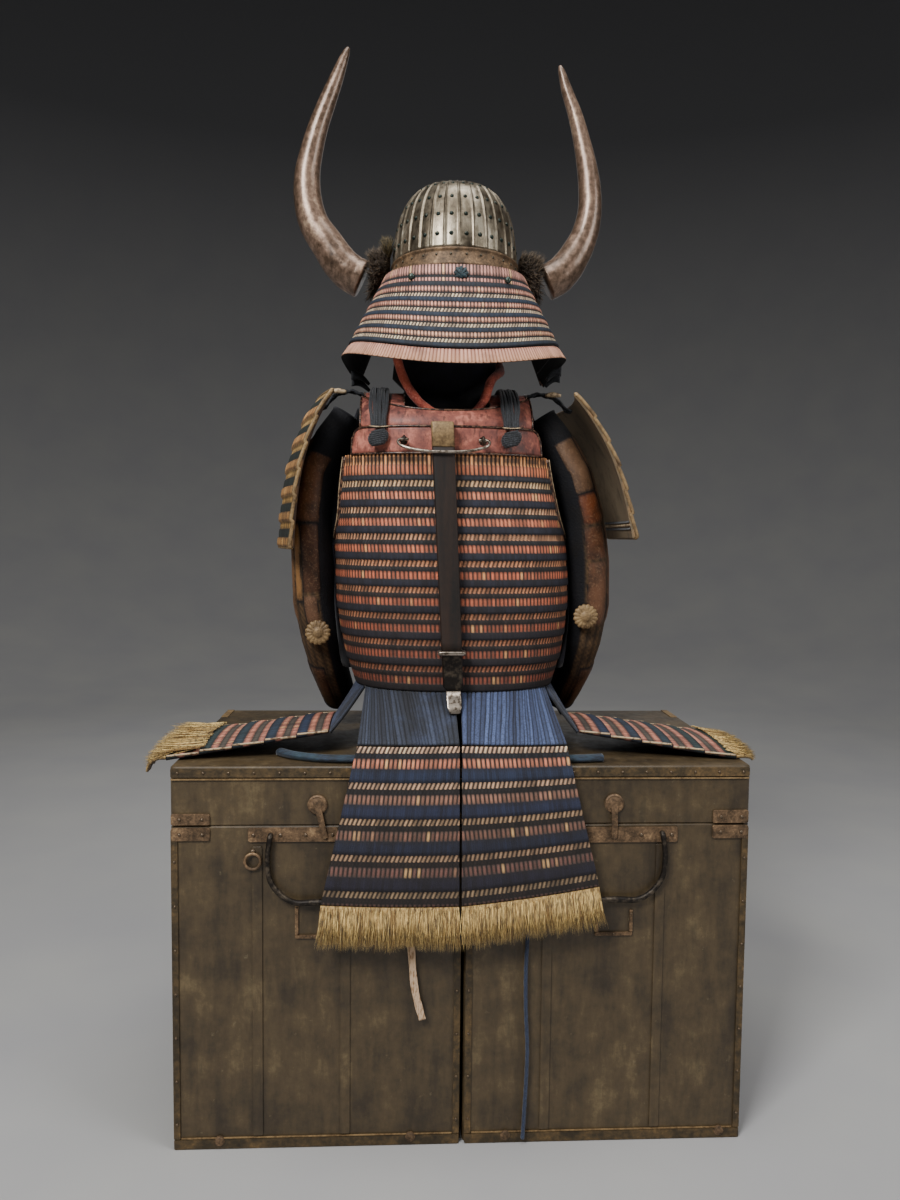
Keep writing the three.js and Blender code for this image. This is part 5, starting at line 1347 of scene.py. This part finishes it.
# Helmet
PLATE_PROFILE = [(0, 2.3), (0.04, 2.2), (0.09, 0.4), (0.25, 0.5), (0.45, 0.6), (0.65, 0.6), (0.85, 0.5), (0.96, 0.4)]
GUARD_FIRST = [[(0.00, 0.68, "bars", 1.4, ("#e9a796",)), (0.70, 0.88, "twist", 0.4, ("#262a30",)),
                (0.90, 1.14, "bars", 1.0, ("#e39d8d",)), (1.16, 1.47, "braid", 1.7, ("#29323e",))]]
GUARD_GROUP = [(0.54, 0.82, "bars", 1.3, ("#ffb49c", "#fcac90", "#ffc49c")),
               (0.86, 0.95, "twist", 0.4, ("#2c2426",)),
               (0.97, 1.18, "hooks", 0.9, ("#f4d2b2", "#ffe2bc")),
               (1.20, 1.52, "braid", 2.0, ("#2e4058", "#24303e"))]


def make_helmet(sizes):
    count = sizes.bowl_plates
    us = [(k + at) / count for k in range(count) for at, _ in PLATE_PROFILE]
    lift = np.array([h for _ in range(count) for _, h in PLATE_PROFILE])
    u, v = grid(us, even(33))
    bottom, top = BOWL_SECTIONS[0][0], BOWL_SECTIONS[-1][0]
    z = mix(bottom, top, v)
    points = helmet_oval(2 * np.pi * u, column_at(BOWL_SECTIONS, z, 1), column_at(BOWL_SECTIONS, z, 2), z)
    height = lift[None, :] * (1 - 0.6 * np.clip((v - 0.8) / 0.2, 0, 1))
    piece = shell("bowl_plates", points, "iron", HELMET["wall"], 1, height, wrapped=True, coarse=(4, 8))
    dress(piece, "iron", "helmet_bowl")
    rivets = []
    for k in range(count):
        angle = 2 * math.pi * (k + 0.5) / count
        for z, size in ((1372, 3.5), (1403, 3.4), (1432, 3.1), (1459, 2.6)):
            wide, deep = column_at(BOWL_SECTIONS, z, 1), column_at(BOWL_SECTIONS, z, 2)
            point = helmet_oval(angle, wide + 0.5, deep + 0.5, z)
            out = np.array([math.sin(angle) / wide, -math.cos(angle) / deep, 0])
            out = out / np.linalg.norm(out) + np.array([0, 0, 0.02 * (z - 1360) / 10])
            rivets.append((point, out, 0, size, tone("#16241f")))
    u, v = grid(np.arange(160) / 160, [0, 0.05, 0.09, 0.14, 0.19, 0.23, 0.3, 0.5, 0.7, 0.9, 1])
    points = helmet_oval(2 * np.pi * u, mix(100, 105, v), mix(120, 127, v),
                         mix(HELMET["band_top"], HELMET["band_bottom"], v))
    ring = 3.0 * np.clip(np.sin(np.pi * np.clip(v / 0.2, 0, 1)), 0, 1) ** 0.6
    piece = shell("band_iron", points, "rusty", HELMET["wall"], -1, ring, wrapped=True, coarse=(5, 4))
    dress(piece, "dark_iron", "helmet_band")
    for k in range(count):
        angle = 2 * math.pi * (k + 0.5) / count
        point = helmet_oval(angle, 102.6, 123.4, 1340)
        rivets.append((point, (math.sin(angle), -math.cos(angle), 0.2), 0, 2.0, tone("#4a4438")))
    piece = repeat("bowl_rivets", dome(), rivets, "rivet")
    u, v = grid(even(61), even(9))
    out = 1.3 + 36 * v * np.sin(np.pi * mix(0.12, 0.88, u))
    points = helmet_oval(np.pi + np.radians(58) * (2 * u - 1), 105 + out, 127 + out, 1330 - 14 * v)
    piece = shell("visor_iron", points, "dark_iron", 2.5, -1, 0.5 * np.sin(np.pi * v), coarse=(2, 2))
    dress(piece, "dark_iron", "visor")
    line = np.linspace(0.01, 0.99, 61)
    out = 1.3 + 36 * np.sin(np.pi * mix(0.12, 0.88, line))
    edge = helmet_oval(np.pi + np.radians(58) * (2 * line - 1), 105 + out, 127 + out, np.full(61, 1315.6))
    new_piece("visor_rim", *rim(edge, 2.1, 8, UP), "bright_metal")


def make_neck_guard():
    split = NECK["split"]
    laced_panel("laced_neck", lambda u, v: neck_point(u, v * split), 5.52, GUARD_GROUP, 5.3, 600, -1,
                ["neck_guard"], NECK["wall"], GUARD_FIRST, 71, tone("#0c0a0b"))
    columns = 560
    u, v = grid(even(columns + 1), [0, 0.06, 0.25, 0.5, 0.75, 0.94, 1])
    points = neck_point(u, mix(split, 1, v))
    out = points - np.array([HELMET["middle_x"], HELMET["middle_y"], 0])
    out[..., 2] = 0
    out = unit(out)
    points = points + out * 3 * v[..., None] - np.array([0, 0, 4 * SEAM])
    tooth = np.sin(np.pi * ((u * columns / 4) % 1)) ** 0.6
    points[..., 2] += np.where(v > 0.99, 1.6 * (1 - tooth), 0)
    vary = speckle(np.floor(u * columns / 4), 9)
    height = 0.5 + 1.3 * tooth * np.clip(v * 8, 0.3, 1)
    light, shade = hue("#edb39c"), hue("#7a3f34")
    tint = shade + (light - shade) * (tooth * (0.6 + 0.4 * vary))[..., None]
    tint = tint + (hue("#cfa06a") - tint) * (0.35 * v[..., None])
    piece = shell("neck_lame_lower", points, "laced", NECK["wall"], -1, height, tint, tone("#0c0a0b"),
                  0.5 * tooth, coarse=(6, 8))
    dress(piece, "lacquer", "neck_guard_bottom_lame")
    rows = []
    for end in (0.0, 1.0):
        line = neck_point(np.full(30, end), np.linspace(0.005, 0.995, 30))
        rows.append(tube(line, (2.0, 2.4), 8, UP))
    trim("neck_guard_ends", rows, "edging")
    bodies = []
    for x0, x1, z0, z1 in ((-170, -140, 1184, 1170), (182, 158, 1196, 1182)):
        for k in range(2):
            y = 6 + 11 * k
            path = [(mix(x0, x1, t), y + 8 * t, mix(z0, z1, t) + 5 * math.sin(math.pi * t) - 9 * k) for t in
                    even(12)]
            bodies.append(rings_body(sweep_rings(path, lambda t, i: (2.2 + 0.4 * k, 8.5 * (1 - 0.7 * t)), 12,
                                                 UP, 2.4)))
    trim("inner_lame_ends", bodies, "cord")
    knot = []
    for k in range(4):
        angle = 2 * np.pi * np.arange(17) / 16
        a = math.pi * k / 4
        loop = [Vector((2 + 9 * math.cos(t) * math.cos(a), -157.5 + 2.4 * math.sin(t) - 0.5 * k,
                        1308 + 7 * math.cos(t) * math.sin(a) + 3 * math.sin(t))) for t in angle]
        knot.append(tube(loop, (2.6, 2.6), 8, (0, 1, 0.3)))
    trim("neck_knot", knot, "teal")
    studs = [((x, -139.4, z), (0.25 * (1 if x > 0 else -1), -1, 0.15), 0, 5.0, tone("#3c4a44"))
             for x, z in ((-72, 1306), (74, 1304))]
    repeat("neck_studs", dome(16), studs, "rivet")


def make_horns(sizes):
    for name, side, rows in (("left", -1, HORN_LEFT), ("right", 1, HORN_RIGHT)):
        path = smooth_path([(x, HELMET["middle_y"], z) for x, z, _ in rows], 96)
        radii = [r for _, _, r in rows]

        def radius(t, i, radii=radii):
            place = t * (len(radii) - 1)
            k = min(int(place), len(radii) - 2)
            wrinkle = 0.5 * math.sin(t * 74) * max(0.5 - t, 0) + 0.25 * math.sin(t * 171 + 1) * max(0.4 - t, 0)
            base = mix(radii[k], radii[k + 1], place - k) + wrinkle
            return base, base

        def flute(k, i):
            return 1 + 0.006 * np.sin(k * 1.9 + i * 0.13) + 0.004 * np.sin(k * 4.1)
        piece = sweep(f"horn_{name}_surface", path, radius, "horn", sides=40, flute=flute)
        dress(piece, "horn", f"horn_{name}")
        band_side = HELMET["middle_x"] + side * 104.4
        foot = rows[0][0] - side * (rows[0][2] * 0.44 + SEAM)
        rings, roots = [], []
        profile = [(0, 1352, 16), (0.35, 1350, 20), (0.7, 1343, 27), (1, 1336, 29.5)]
        for j, (share, z, size) in enumerate(profile):
            angle = turns(44)
            lock = 1 + 0.07 * np.sin(angle * 11 + j * 1.7)
            x = mix(band_side, foot, share)
            rings.append(stack(x, HELMET["middle_y"] + size * lock * np.cos(angle), z + size * lock * np.sin(angle)))
        points, faces = rings_body(rings)
        tints = np.tile(hue("#382a20"), (len(points), 1))
        piece = new_piece(f"fur_{name}_root", points, faces, "fur", tints=tints)
        dress(piece, "fur", f"fur_tuft_{name}")
        rng = np.random.default_rng(7 + side)
        for _ in range(int(1500 * sizes.hair_density)):
            share = rng.random()
            a = rng.random() * 2 * math.pi
            j = min(int(share * 3), 2)
            keys = [p[0] for p in profile]
            z = float(np.interp(share, keys, [p[1] for p in profile]))
            size = float(np.interp(share, keys, [p[2] for p in profile]))
            point = (mix(band_side, foot, share), HELMET["middle_y"] + size * 0.97 * math.cos(a),
                     z + size * 0.97 * math.sin(a))
            way = np.array([side * (0.35 + 0.5 * rng.random()), math.cos(a), math.sin(a) + 0.15])
            way = way + rng.normal(0, 0.25, 3)
            shade = mix(hue("#8d7a63"), hue("#1f1712"), rng.random() ** 0.7)
            roots.append((point, way, rng.random() * 6.3, 9 + 9 * rng.random(), shade))
        if side < 0:
            for _ in range(int(260 * sizes.hair_density)):
                point = (-112 + 7 * rng.random(), HELMET["middle_y"] - 14 - 8 * rng.random(), 1362 + 6 * rng.random())
                way = np.array([-0.12, -0.25, 1.0]) + rng.normal(0, 0.16, 3)
                shade = mix(hue("#7a6a44"), hue("#2c2416"), rng.random())
                roots.append((point, way, rng.random() * 6.3, 18 + 12 * rng.random(), shade))
        repeat(f"fur_{name}", strand(0.22, 0.035), roots, "fur")


# Form and storage chests
def make_form():
    rows = np.array(FORM_SECTIONS, float)
    rings = []
    for a, b in zip(rows[:-1], rows[1:]):
        parts = max(1, int((b[0] - a[0]) / 24))
        rings += [mix(a, b, k / parts) for k in range(parts)]
    rings.append(rows[-1])
    made = []
    for z, wide, deep, mx, my in rings:
        x, y = oval(turns(80), wide, deep, 2.2)
        made.append(stack(mx + x, my + y, z))
    piece = new_piece("form_cover", *rings_body(made), "black_cloth")
    dress(piece, "cloth", "form")


CHEST_FRONT = -217.6
CHEST_ENDS = ((-416, 8), (17, 439))  # left and right end of each chest's front


def nail_row(places, size, rng):
    return [((x, CHEST_FRONT - 1.6, z), (0.1 * rng.normal(), -1, 0.1 * rng.normal()), rng.random() * 6, size,
             tone("#6b5a48")) for x, z in places]


def make_chests():
    for name in ("chest_left", "chest_left_lid", "chest_right", "chest_right_lid"):
        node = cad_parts[name]
        node.data.materials.clear()
        node.data.materials.append(finish_of("chest"))
    rng = np.random.default_rng(3)
    near = CHEST_FRONT - 1.5
    plates, trims, nails, pale, battens = [], [], [], [], []

    def board(x0, x1, z0, z1, radius, sunk=0.0):
        return slab(rounded(x0, x1, z0, z1, radius), near + sunk)

    for low, high in CHEST_ENDS:
        trims += [board(*box, 1.5, 0.4) for box in (
            (low, high, 565, 578), (low - 0.5, low + 9, 16, 488), (high - 9, high + 0.5, 16, 488),
            (low - 0.5, high + 0.5, 1, 15.4))]
        pale += [board(low, high, 561, 563, 0.8, 0.2), board(low + 10, high - 10, 16.5, 18, 0.6, 0.6)]
        nails += nail_row([(x, 571.5) for x in np.linspace(low + 10, high - 10, 12)], 2.1, rng)
        for x in (low + 4.5, high - 4.5):
            nails += nail_row([(x, z) for z in np.linspace(40, 440, 7)], 2.0, rng)
    for x0, x1, z0, z1 in ((-416, -360, 494.5, 511), (-416, -360, 471, 490), (385, 439, 493.5, 513),
                           (385, 439, 470, 490), (17, 52, 494.5, 511), (17, 52, 471, 490), (-28, 8, 494.5, 511),
                           (-28, 8, 471, 490)):
        plates.append(board(x0, x1, z0, z1, 2.5))
        nails += nail_row([(mix(x0, x1, 0.22), (z0 + z1) / 2), (mix(x0, x1, 0.8), (z0 + z1) / 2)], 2.6, rng)
    for x0, x1, z0, z1 in ((-305, -174, 469, 490), (179, 332, 465, 488)):
        plates.append(board(x0, x1, z0, z1, 3))
        nails += nail_row([(mix(x0, x1, t), (z0 + z1) / 2) for t in (0.06, 0.36, 0.64, 0.94)], 3.0, rng)
    for x0, x1, z0, z1 in ((-237, -187, 323, 375), (210, 267, 322, 361)):
        plates += [board(x0, x1, z0, z0 + 5, 1.5), board(x0, x0 + 5, z0 + 5.4, z1, 1.5),
                   board(x1 - 5, x1, z0 + 5.4, z1, 1.5)]
        nails += nail_row([(x0 + 2.5, z1 - 5), (x1 - 2.5, z1 - 5), ((x0 + x1) / 2, z0 + 2.5)], 1.8, rng)
    for (x, z), (fx, fz) in (((-204, 524), (-192, 475)), ((235, 524), (236, 473))):
        plates.append(disc(x, z, 28, ((14.5, CHEST_FRONT + 1), (14.5, near - 0.3), (12.5, near - 1.6),
                                      (10.5, near - 1.2), (6, near - 2.4), (2, near - 2.9))))
        strap = [Vector((mix(x, fx, t), near - 1.6 - 1.6 * math.sin(math.pi * t), mix(z, fz, t)))
                 for t in np.linspace(-0.05, 1, 20)]
        plates.append(rings_body(sweep_rings(strap, lambda t, i: (5.2 - 1.2 * t, 1.2), 16, (0, 1, 0), 3)))
        nails += nail_row([(fx, fz)], 3.4, rng)
    for x, z in ((-349, 13), (-65, 13), (79, 12), (408, 12)):
        plates.append(disc(x, z, 24, ((7.5, CHEST_FRONT + 1), (7.5, near - 0.4), (5.5, near - 1.4),
                                      (2, near - 2.2))))
    ring = [Vector((-298 + 11.5 * math.cos(a), near - 3, 441 + 11.5 * math.sin(a)))
            for a in np.linspace(0, 2 * math.pi, 41)]
    plates.append(rim(ring, 2.1, 10, (0, 1, 0)))
    nails += nail_row([(-298, 455)], 4.0, rng)
    for x in (-292, -163, 138, 307):
        battens.append(slab(rounded(x - 7, x + 7, 20, 462, 2), CHEST_FRONT - 0.9, 0.5))
    for name, parts, coat, slot in (("chest_fittings", plates, "rusty", "dark_iron"),
                                    ("chest_trims", trims, "chest_trim", "chest"),
                                    ("chest_lines", pale, "brass", "brass"),
                                    ("chest_battens", battens, "chest", "chest")):
        new_piece(name, *merged(parts), coat, smooth=False)
    repeat("chest_nails", dome(), nails, "rivet")
    for x0, x1 in ((-416, -404), (427, 439)):
        corners = np.array([(x0, 150), (x1, 150), (x1, 215), (x0, 215)], float)
        patch = [stack(corners[:, 0], corners[:, 1], np.full(4, CHEST["top"] + z)) for z in (-0.5, 1.2)]
        name = "lid_corner_left" if x0 < 0 else "lid_corner_right"
        new_piece(name, *rings_body(patch), "brass", smooth=False)
    half = [(70, 0.4, 0), (70, -5.5, 0), (70.5, -8, -4), (74, -8, -36), (70, -8, -66), (54, -8, -88), (34, -8, -99),
            (10, -8, -99)]
    for name, x in (("left", -202), ("right", 238)):
        line = half + [(-a, b, c) for a, b, c in reversed(half)]
        path = smooth_path([(x + a, -CHEST["depth"] / 2 - 2 * SEAM + b, 479 + c) for a, b, c in line], 110)

        def wire(t, i):
            swell = 0.55 * math.exp(-((t - 0.5) / 0.09) ** 2) + 0.35 * math.exp(-((t - 0.5) / 0.012) ** 2)
            return 4.0 + swell, 4.0 + swell
        piece = sweep(f"handle_{name}", path, wire, "dark_iron", sides=18, reference=(1, 0, 0))
        dress(piece, "dark_iron", f"chest_handle_{name}")


# Cords and ties
def route_in_metres(route, count):
    return [tuple(p * MM) for p in smooth_path(route, count)]


def make_cord(name, route, count, half_sizes, finish, node, slot, **more):
    piece = sweep(name, smooth_path(route, count), half_sizes, finish, **more)
    dress(piece, slot, node)
    return piece, route_in_metres(route, 60)


def make_cords():
    piece, given = make_cord("cord_salmon", HELMET_CORD_ROUTE, 170, lambda t, i: (7.0, 7.0), "salmon", "helmet_cord",
                             "salmon", sides=20, flute=lambda k, i: 1 + 0.035 * np.sin(k * np.pi / 5 * 2 + i * 0.85))
    piece, given = make_cord("cord_blue", BLUE_ROUTE, 230, lambda t, i: (3.0, 3.0), "blue_cord", "tie_blue",
                             "strings", sides=14, reference=(1, 0, 0),
                             flute=lambda k, i: 1 + 0.07 * np.sin(k * np.pi / 7 * 3 + i * 1.3))
    piece, given = make_cord("ribbon_cream", CREAM_ROUTE, 150,
                             lambda t, i: (1.0, 5.5 * (1 + 0.05 * math.sin(i * 0.5))), "ribbon", "tie_cream",
                             "cream", sides=16, reference=(1, 0, 0), power=3)
    piece, given = make_cord(
        "sash_blue", SASH_ROUTE, 120, lambda t, i: (8.0, 6.0), "sash", "waist_sash", "strings", sides=28,
        reference=UP, flute=lambda k, i: 1 + 0.09 * np.abs(np.sin(k * np.pi / 28 * 5 + i * 0.045)) - 0.06)


# Floor, lights and camera
def aim(thing, target):
    way = Vector(target) - thing.location
    thing.rotation_euler = way.to_track_quat("-Z", "Y").to_euler()


CAMERA_TURN = (0.0502894354, 0.0693045052, 0.0101947600)  # yaw, pitch and roll, in radians
CAMERA_PLACE = (-0.078757, -1.527971, 0.916777)
CAMERA_SENSOR = 36
FOCAL_PIXELS, PHOTO_HEIGHT = 906, 1200


def make_camera():
    yaw, pitch, roll = CAMERA_TURN
    ahead = Vector((math.sin(yaw) * math.cos(pitch), math.cos(yaw) * math.cos(pitch), -math.sin(pitch)))
    right0 = Vector((math.cos(yaw), -math.sin(yaw), 0))
    up0 = right0.cross(ahead)
    right = right0 * math.cos(roll) + up0 * math.sin(roll)
    up = -right0 * math.sin(roll) + up0 * math.cos(roll)
    data = bpy.data.cameras.new("camera")
    data.sensor_width = CAMERA_SENSOR
    data.lens = FOCAL_PIXELS / PHOTO_HEIGHT * CAMERA_SENSOR
    camera = add_object("camera", data)
    matrix = Matrix((right, up, -ahead)).transposed().to_4x4()
    matrix.translation = Vector(CAMERA_PLACE)
    camera.matrix_world = matrix
    bpy.context.scene.camera = camera


def make_stage(sizes):
    mesh = bpy.data.meshes.new("floor")
    turn = turns(96)
    profile = [(0.01, 0), (3.6, 0)] + [(3.6 + 3.4 * math.sin(a), 3.4 - 3.4 * math.cos(a)) for a in
                                       np.linspace(0.08, math.pi / 2, 20)] + [(7.0, 9.0)]
    points = np.concatenate([stack(r * np.cos(turn), r * np.sin(turn), z) for r, z in profile])
    faces = [(j * 96 + k, j * 96 + (k + 1) % 96, (j + 1) * 96 + (k + 1) % 96, (j + 1) * 96 + k)
             for j in range(len(profile) - 1) for k in range(96)] + [list(range(96))]
    mesh.from_pydata([tuple(p) for p in points], [], faces)
    mesh.polygons.foreach_set("use_smooth", [True] * len(mesh.polygons))
    mesh.materials.append(finish_of("floor"))
    floor = add_object("floor", mesh)
    for name, place, target, size, power in (
            ("key", (-1.5, -2.5, 3.1), (0, 0, 0.95), 1.1, 125), ("side", (2.7, -1.9, 2.2), (0, 0, 0.9), 1.3, 40),
            ("top", (0.1, -0.7, 3.8), (0, 0, 1.0), 2.0, 60), ("far", (0.8, 3.4, 2.6), (0, 0, 1.1), 3.0, 9)):
        data = bpy.data.lights.new(name, "AREA")
        data.size = size
        data.energy = power * sizes.light
        light = add_object(name, data)
        light.location = place
        aim(light, target)
    world = bpy.data.worlds.new("studio")
    world.use_nodes = True
    background = world.node_tree.nodes["Background"]
    background.inputs["Color"].default_value = (*sizes.backdrop, 1)
    background.inputs["Strength"].default_value = 1.0
    bpy.context.scene.world = world


# What a user may change
class ArmourSizes(bpy.types.PropertyGroup):
    """Sizes and numbers of the armour's small parts"""
    scale_pitch: bpy.props.FloatProperty(
        name="Scale pitch", description="Width of one scale in the laced rows", default=0.0066, min=0.004,
        max=0.02, unit="LENGTH")
    bowl_plates: bpy.props.IntProperty(
        name="Helmet plates", description="Number of plates round the helmet's bowl", default=30, min=12, max=62)
    hair_density: bpy.props.FloatProperty(
        name="Hair density", description="Share of the loose hairs in the fringes and the fur", default=1.0,
        min=0.05, max=1.5, subtype="FACTOR")
    hair_thickness: bpy.props.FloatProperty(
        name="Hair thickness", description="Radius of one loose hair of a fringe", default=0.0006, min=0.0002,
        max=0.002, unit="LENGTH")


class ArmourStage(bpy.types.PropertyGroup):
    """Light and backdrop"""
    light: bpy.props.FloatProperty(
        name="Light", description="Strength of the studio lamps", default=1.0, min=0.0, max=4.0, subtype="FACTOR")
    backdrop: bpy.props.FloatVectorProperty(
        name="Backdrop", description="Colour of the plain studio wall and its fill light",
        default=(0.05, 0.05, 0.05), min=0.0, max=1.0, size=3, subtype="COLOR")


class ArmourOperator:
    bl_options = {"REGISTER", "UNDO"}


class ARMOUR_OT_camera(ArmourOperator, bpy.types.Operator):
    """Set up the camera at the photograph's place"""
    bl_idname = "armour.camera"
    bl_label = "Camera"

    def execute(self, context):
        make_camera()
        return {"FINISHED"}


class ARMOUR_OT_cords(ArmourOperator, bpy.types.Operator):
    """Make the padded helmet cord, the waist ties and the sash"""
    bl_idname = "armour.cords"
    bl_label = "Cords and ties"

    def execute(self, context):
        make_cords()
        return {"FINISHED"}


class ARMOUR_OT_cuirass(ArmourOperator, bpy.types.Operator):
    """Make the laced cuirass, its armhole edges, plates, straps and shoulder cords"""
    bl_idname = "armour.cuirass"
    bl_label = "Cuirass"

    def execute(self, context):
        make_cuirass(context.scene.armour_sizes)
        make_plates()
        make_shoulder_cords()
        return {"FINISHED"}


class ARMOUR_OT_fittings(ArmourOperator, bpy.types.Operator):
    """Make the bracket, pole, socket and bail on the back"""
    bl_idname = "armour.fittings"
    bl_label = "Back fittings"

    def execute(self, context):
        make_back_fittings()
        return {"FINISHED"}


class ARMOUR_OT_tassets(ArmourOperator, bpy.types.Operator):
    """Make the seven tassets with their cords and hair fringes"""
    bl_idname = "armour.tassets"
    bl_label = "Tassets"

    def execute(self, context):
        make_hung_tassets(context.scene.armour_sizes)
        make_side_tassets(context.scene.armour_sizes)
        return {"FINISHED"}


class ARMOUR_OT_sleeves(ArmourOperator, bpy.types.Operator):
    """Make the armoured sleeves and their elbow rosettes"""
    bl_idname = "armour.sleeves"
    bl_label = "Sleeves"

    def execute(self, context):
        make_sleeves()
        return {"FINISHED"}


class ARMOUR_OT_guards(ArmourOperator, bpy.types.Operator):
    """Make the shoulder guards with their bindings and toggles"""
    bl_idname = "armour.guards"
    bl_label = "Shoulder guards"

    def execute(self, context):
        make_guards()
        return {"FINISHED"}


class ARMOUR_OT_helmet(ArmourOperator, bpy.types.Operator):
    """Make the plated helmet with its band, peak and laced neck guard"""
    bl_idname = "armour.helmet"
    bl_label = "Helmet"

    def execute(self, context):
        make_helmet(context.scene.armour_sizes)
        make_neck_guard()
        return {"FINISHED"}


class ARMOUR_OT_horns(ArmourOperator, bpy.types.Operator):
    """Make the two horns and the fur round their roots"""
    bl_idname = "armour.horns"
    bl_label = "Horns and fur"

    def execute(self, context):
        make_horns(context.scene.armour_sizes)
        return {"FINISHED"}


class ARMOUR_OT_form(ArmourOperator, bpy.types.Operator):
    """Make the cloth-covered form that carries the armour"""
    bl_idname = "armour.form"
    bl_label = "Form"

    def execute(self, context):
        make_form()
        return {"FINISHED"}


class ARMOUR_OT_chests(ArmourOperator, bpy.types.Operator):
    """Finish the storage chests and make their fittings and handles"""
    bl_idname = "armour.chests"
    bl_label = "Storage chests"

    def execute(self, context):
        make_chests()
        return {"FINISHED"}


class ARMOUR_OT_stage(ArmourOperator, bpy.types.Operator):
    """Make the plain floor, the soft studio lights and the backdrop"""
    bl_idname = "armour.stage"
    bl_label = "Floor and lights"

    def execute(self, context):
        make_stage(context.scene.armour_stage)
        return {"FINISHED"}


PIECES = ["camera", "cords", "cuirass", "fittings", "tassets", "sleeves", "guards", "helmet", "horns", "form",
          "chests", "stage"]


class ARMOUR_PT_pieces(bpy.types.Panel):
    """List the armour's pieces and sizes"""
    bl_idname = "ARMOUR_PT_pieces"
    bl_label = "Armour"
    bl_space_type = "VIEW_3D"
    bl_region_type = "UI"
    bl_category = "Armour"

    def draw(self, context):
        sizes, stage = context.scene.armour_sizes, context.scene.armour_stage
        for name in ("scale_pitch", "bowl_plates", "hair_density", "hair_thickness"):
            self.layout.prop(sizes, name)
        for name in ("light", "backdrop"):
            self.layout.prop(stage, name)
        for piece in PIECES:
            self.layout.operator(f"armour.{piece}")


CLASSES = [ArmourSizes, ArmourStage, *ArmourOperator.__subclasses__(), ARMOUR_PT_pieces]


def register():
    for made in CLASSES:
        bpy.utils.register_class(made)
    bpy.types.Scene.armour_sizes = bpy.props.PointerProperty(type=ArmourSizes)
    bpy.types.Scene.armour_stage = bpy.props.PointerProperty(type=ArmourStage)


def unregister():
    del bpy.types.Scene.armour_sizes
    del bpy.types.Scene.armour_stage
    for made in reversed(CLASSES):
        bpy.utils.unregister_class(made)


def main():
    register()
    for piece in PIECES:
        getattr(bpy.ops.armour, piece)()


if __name__ == "__main__":
    main()
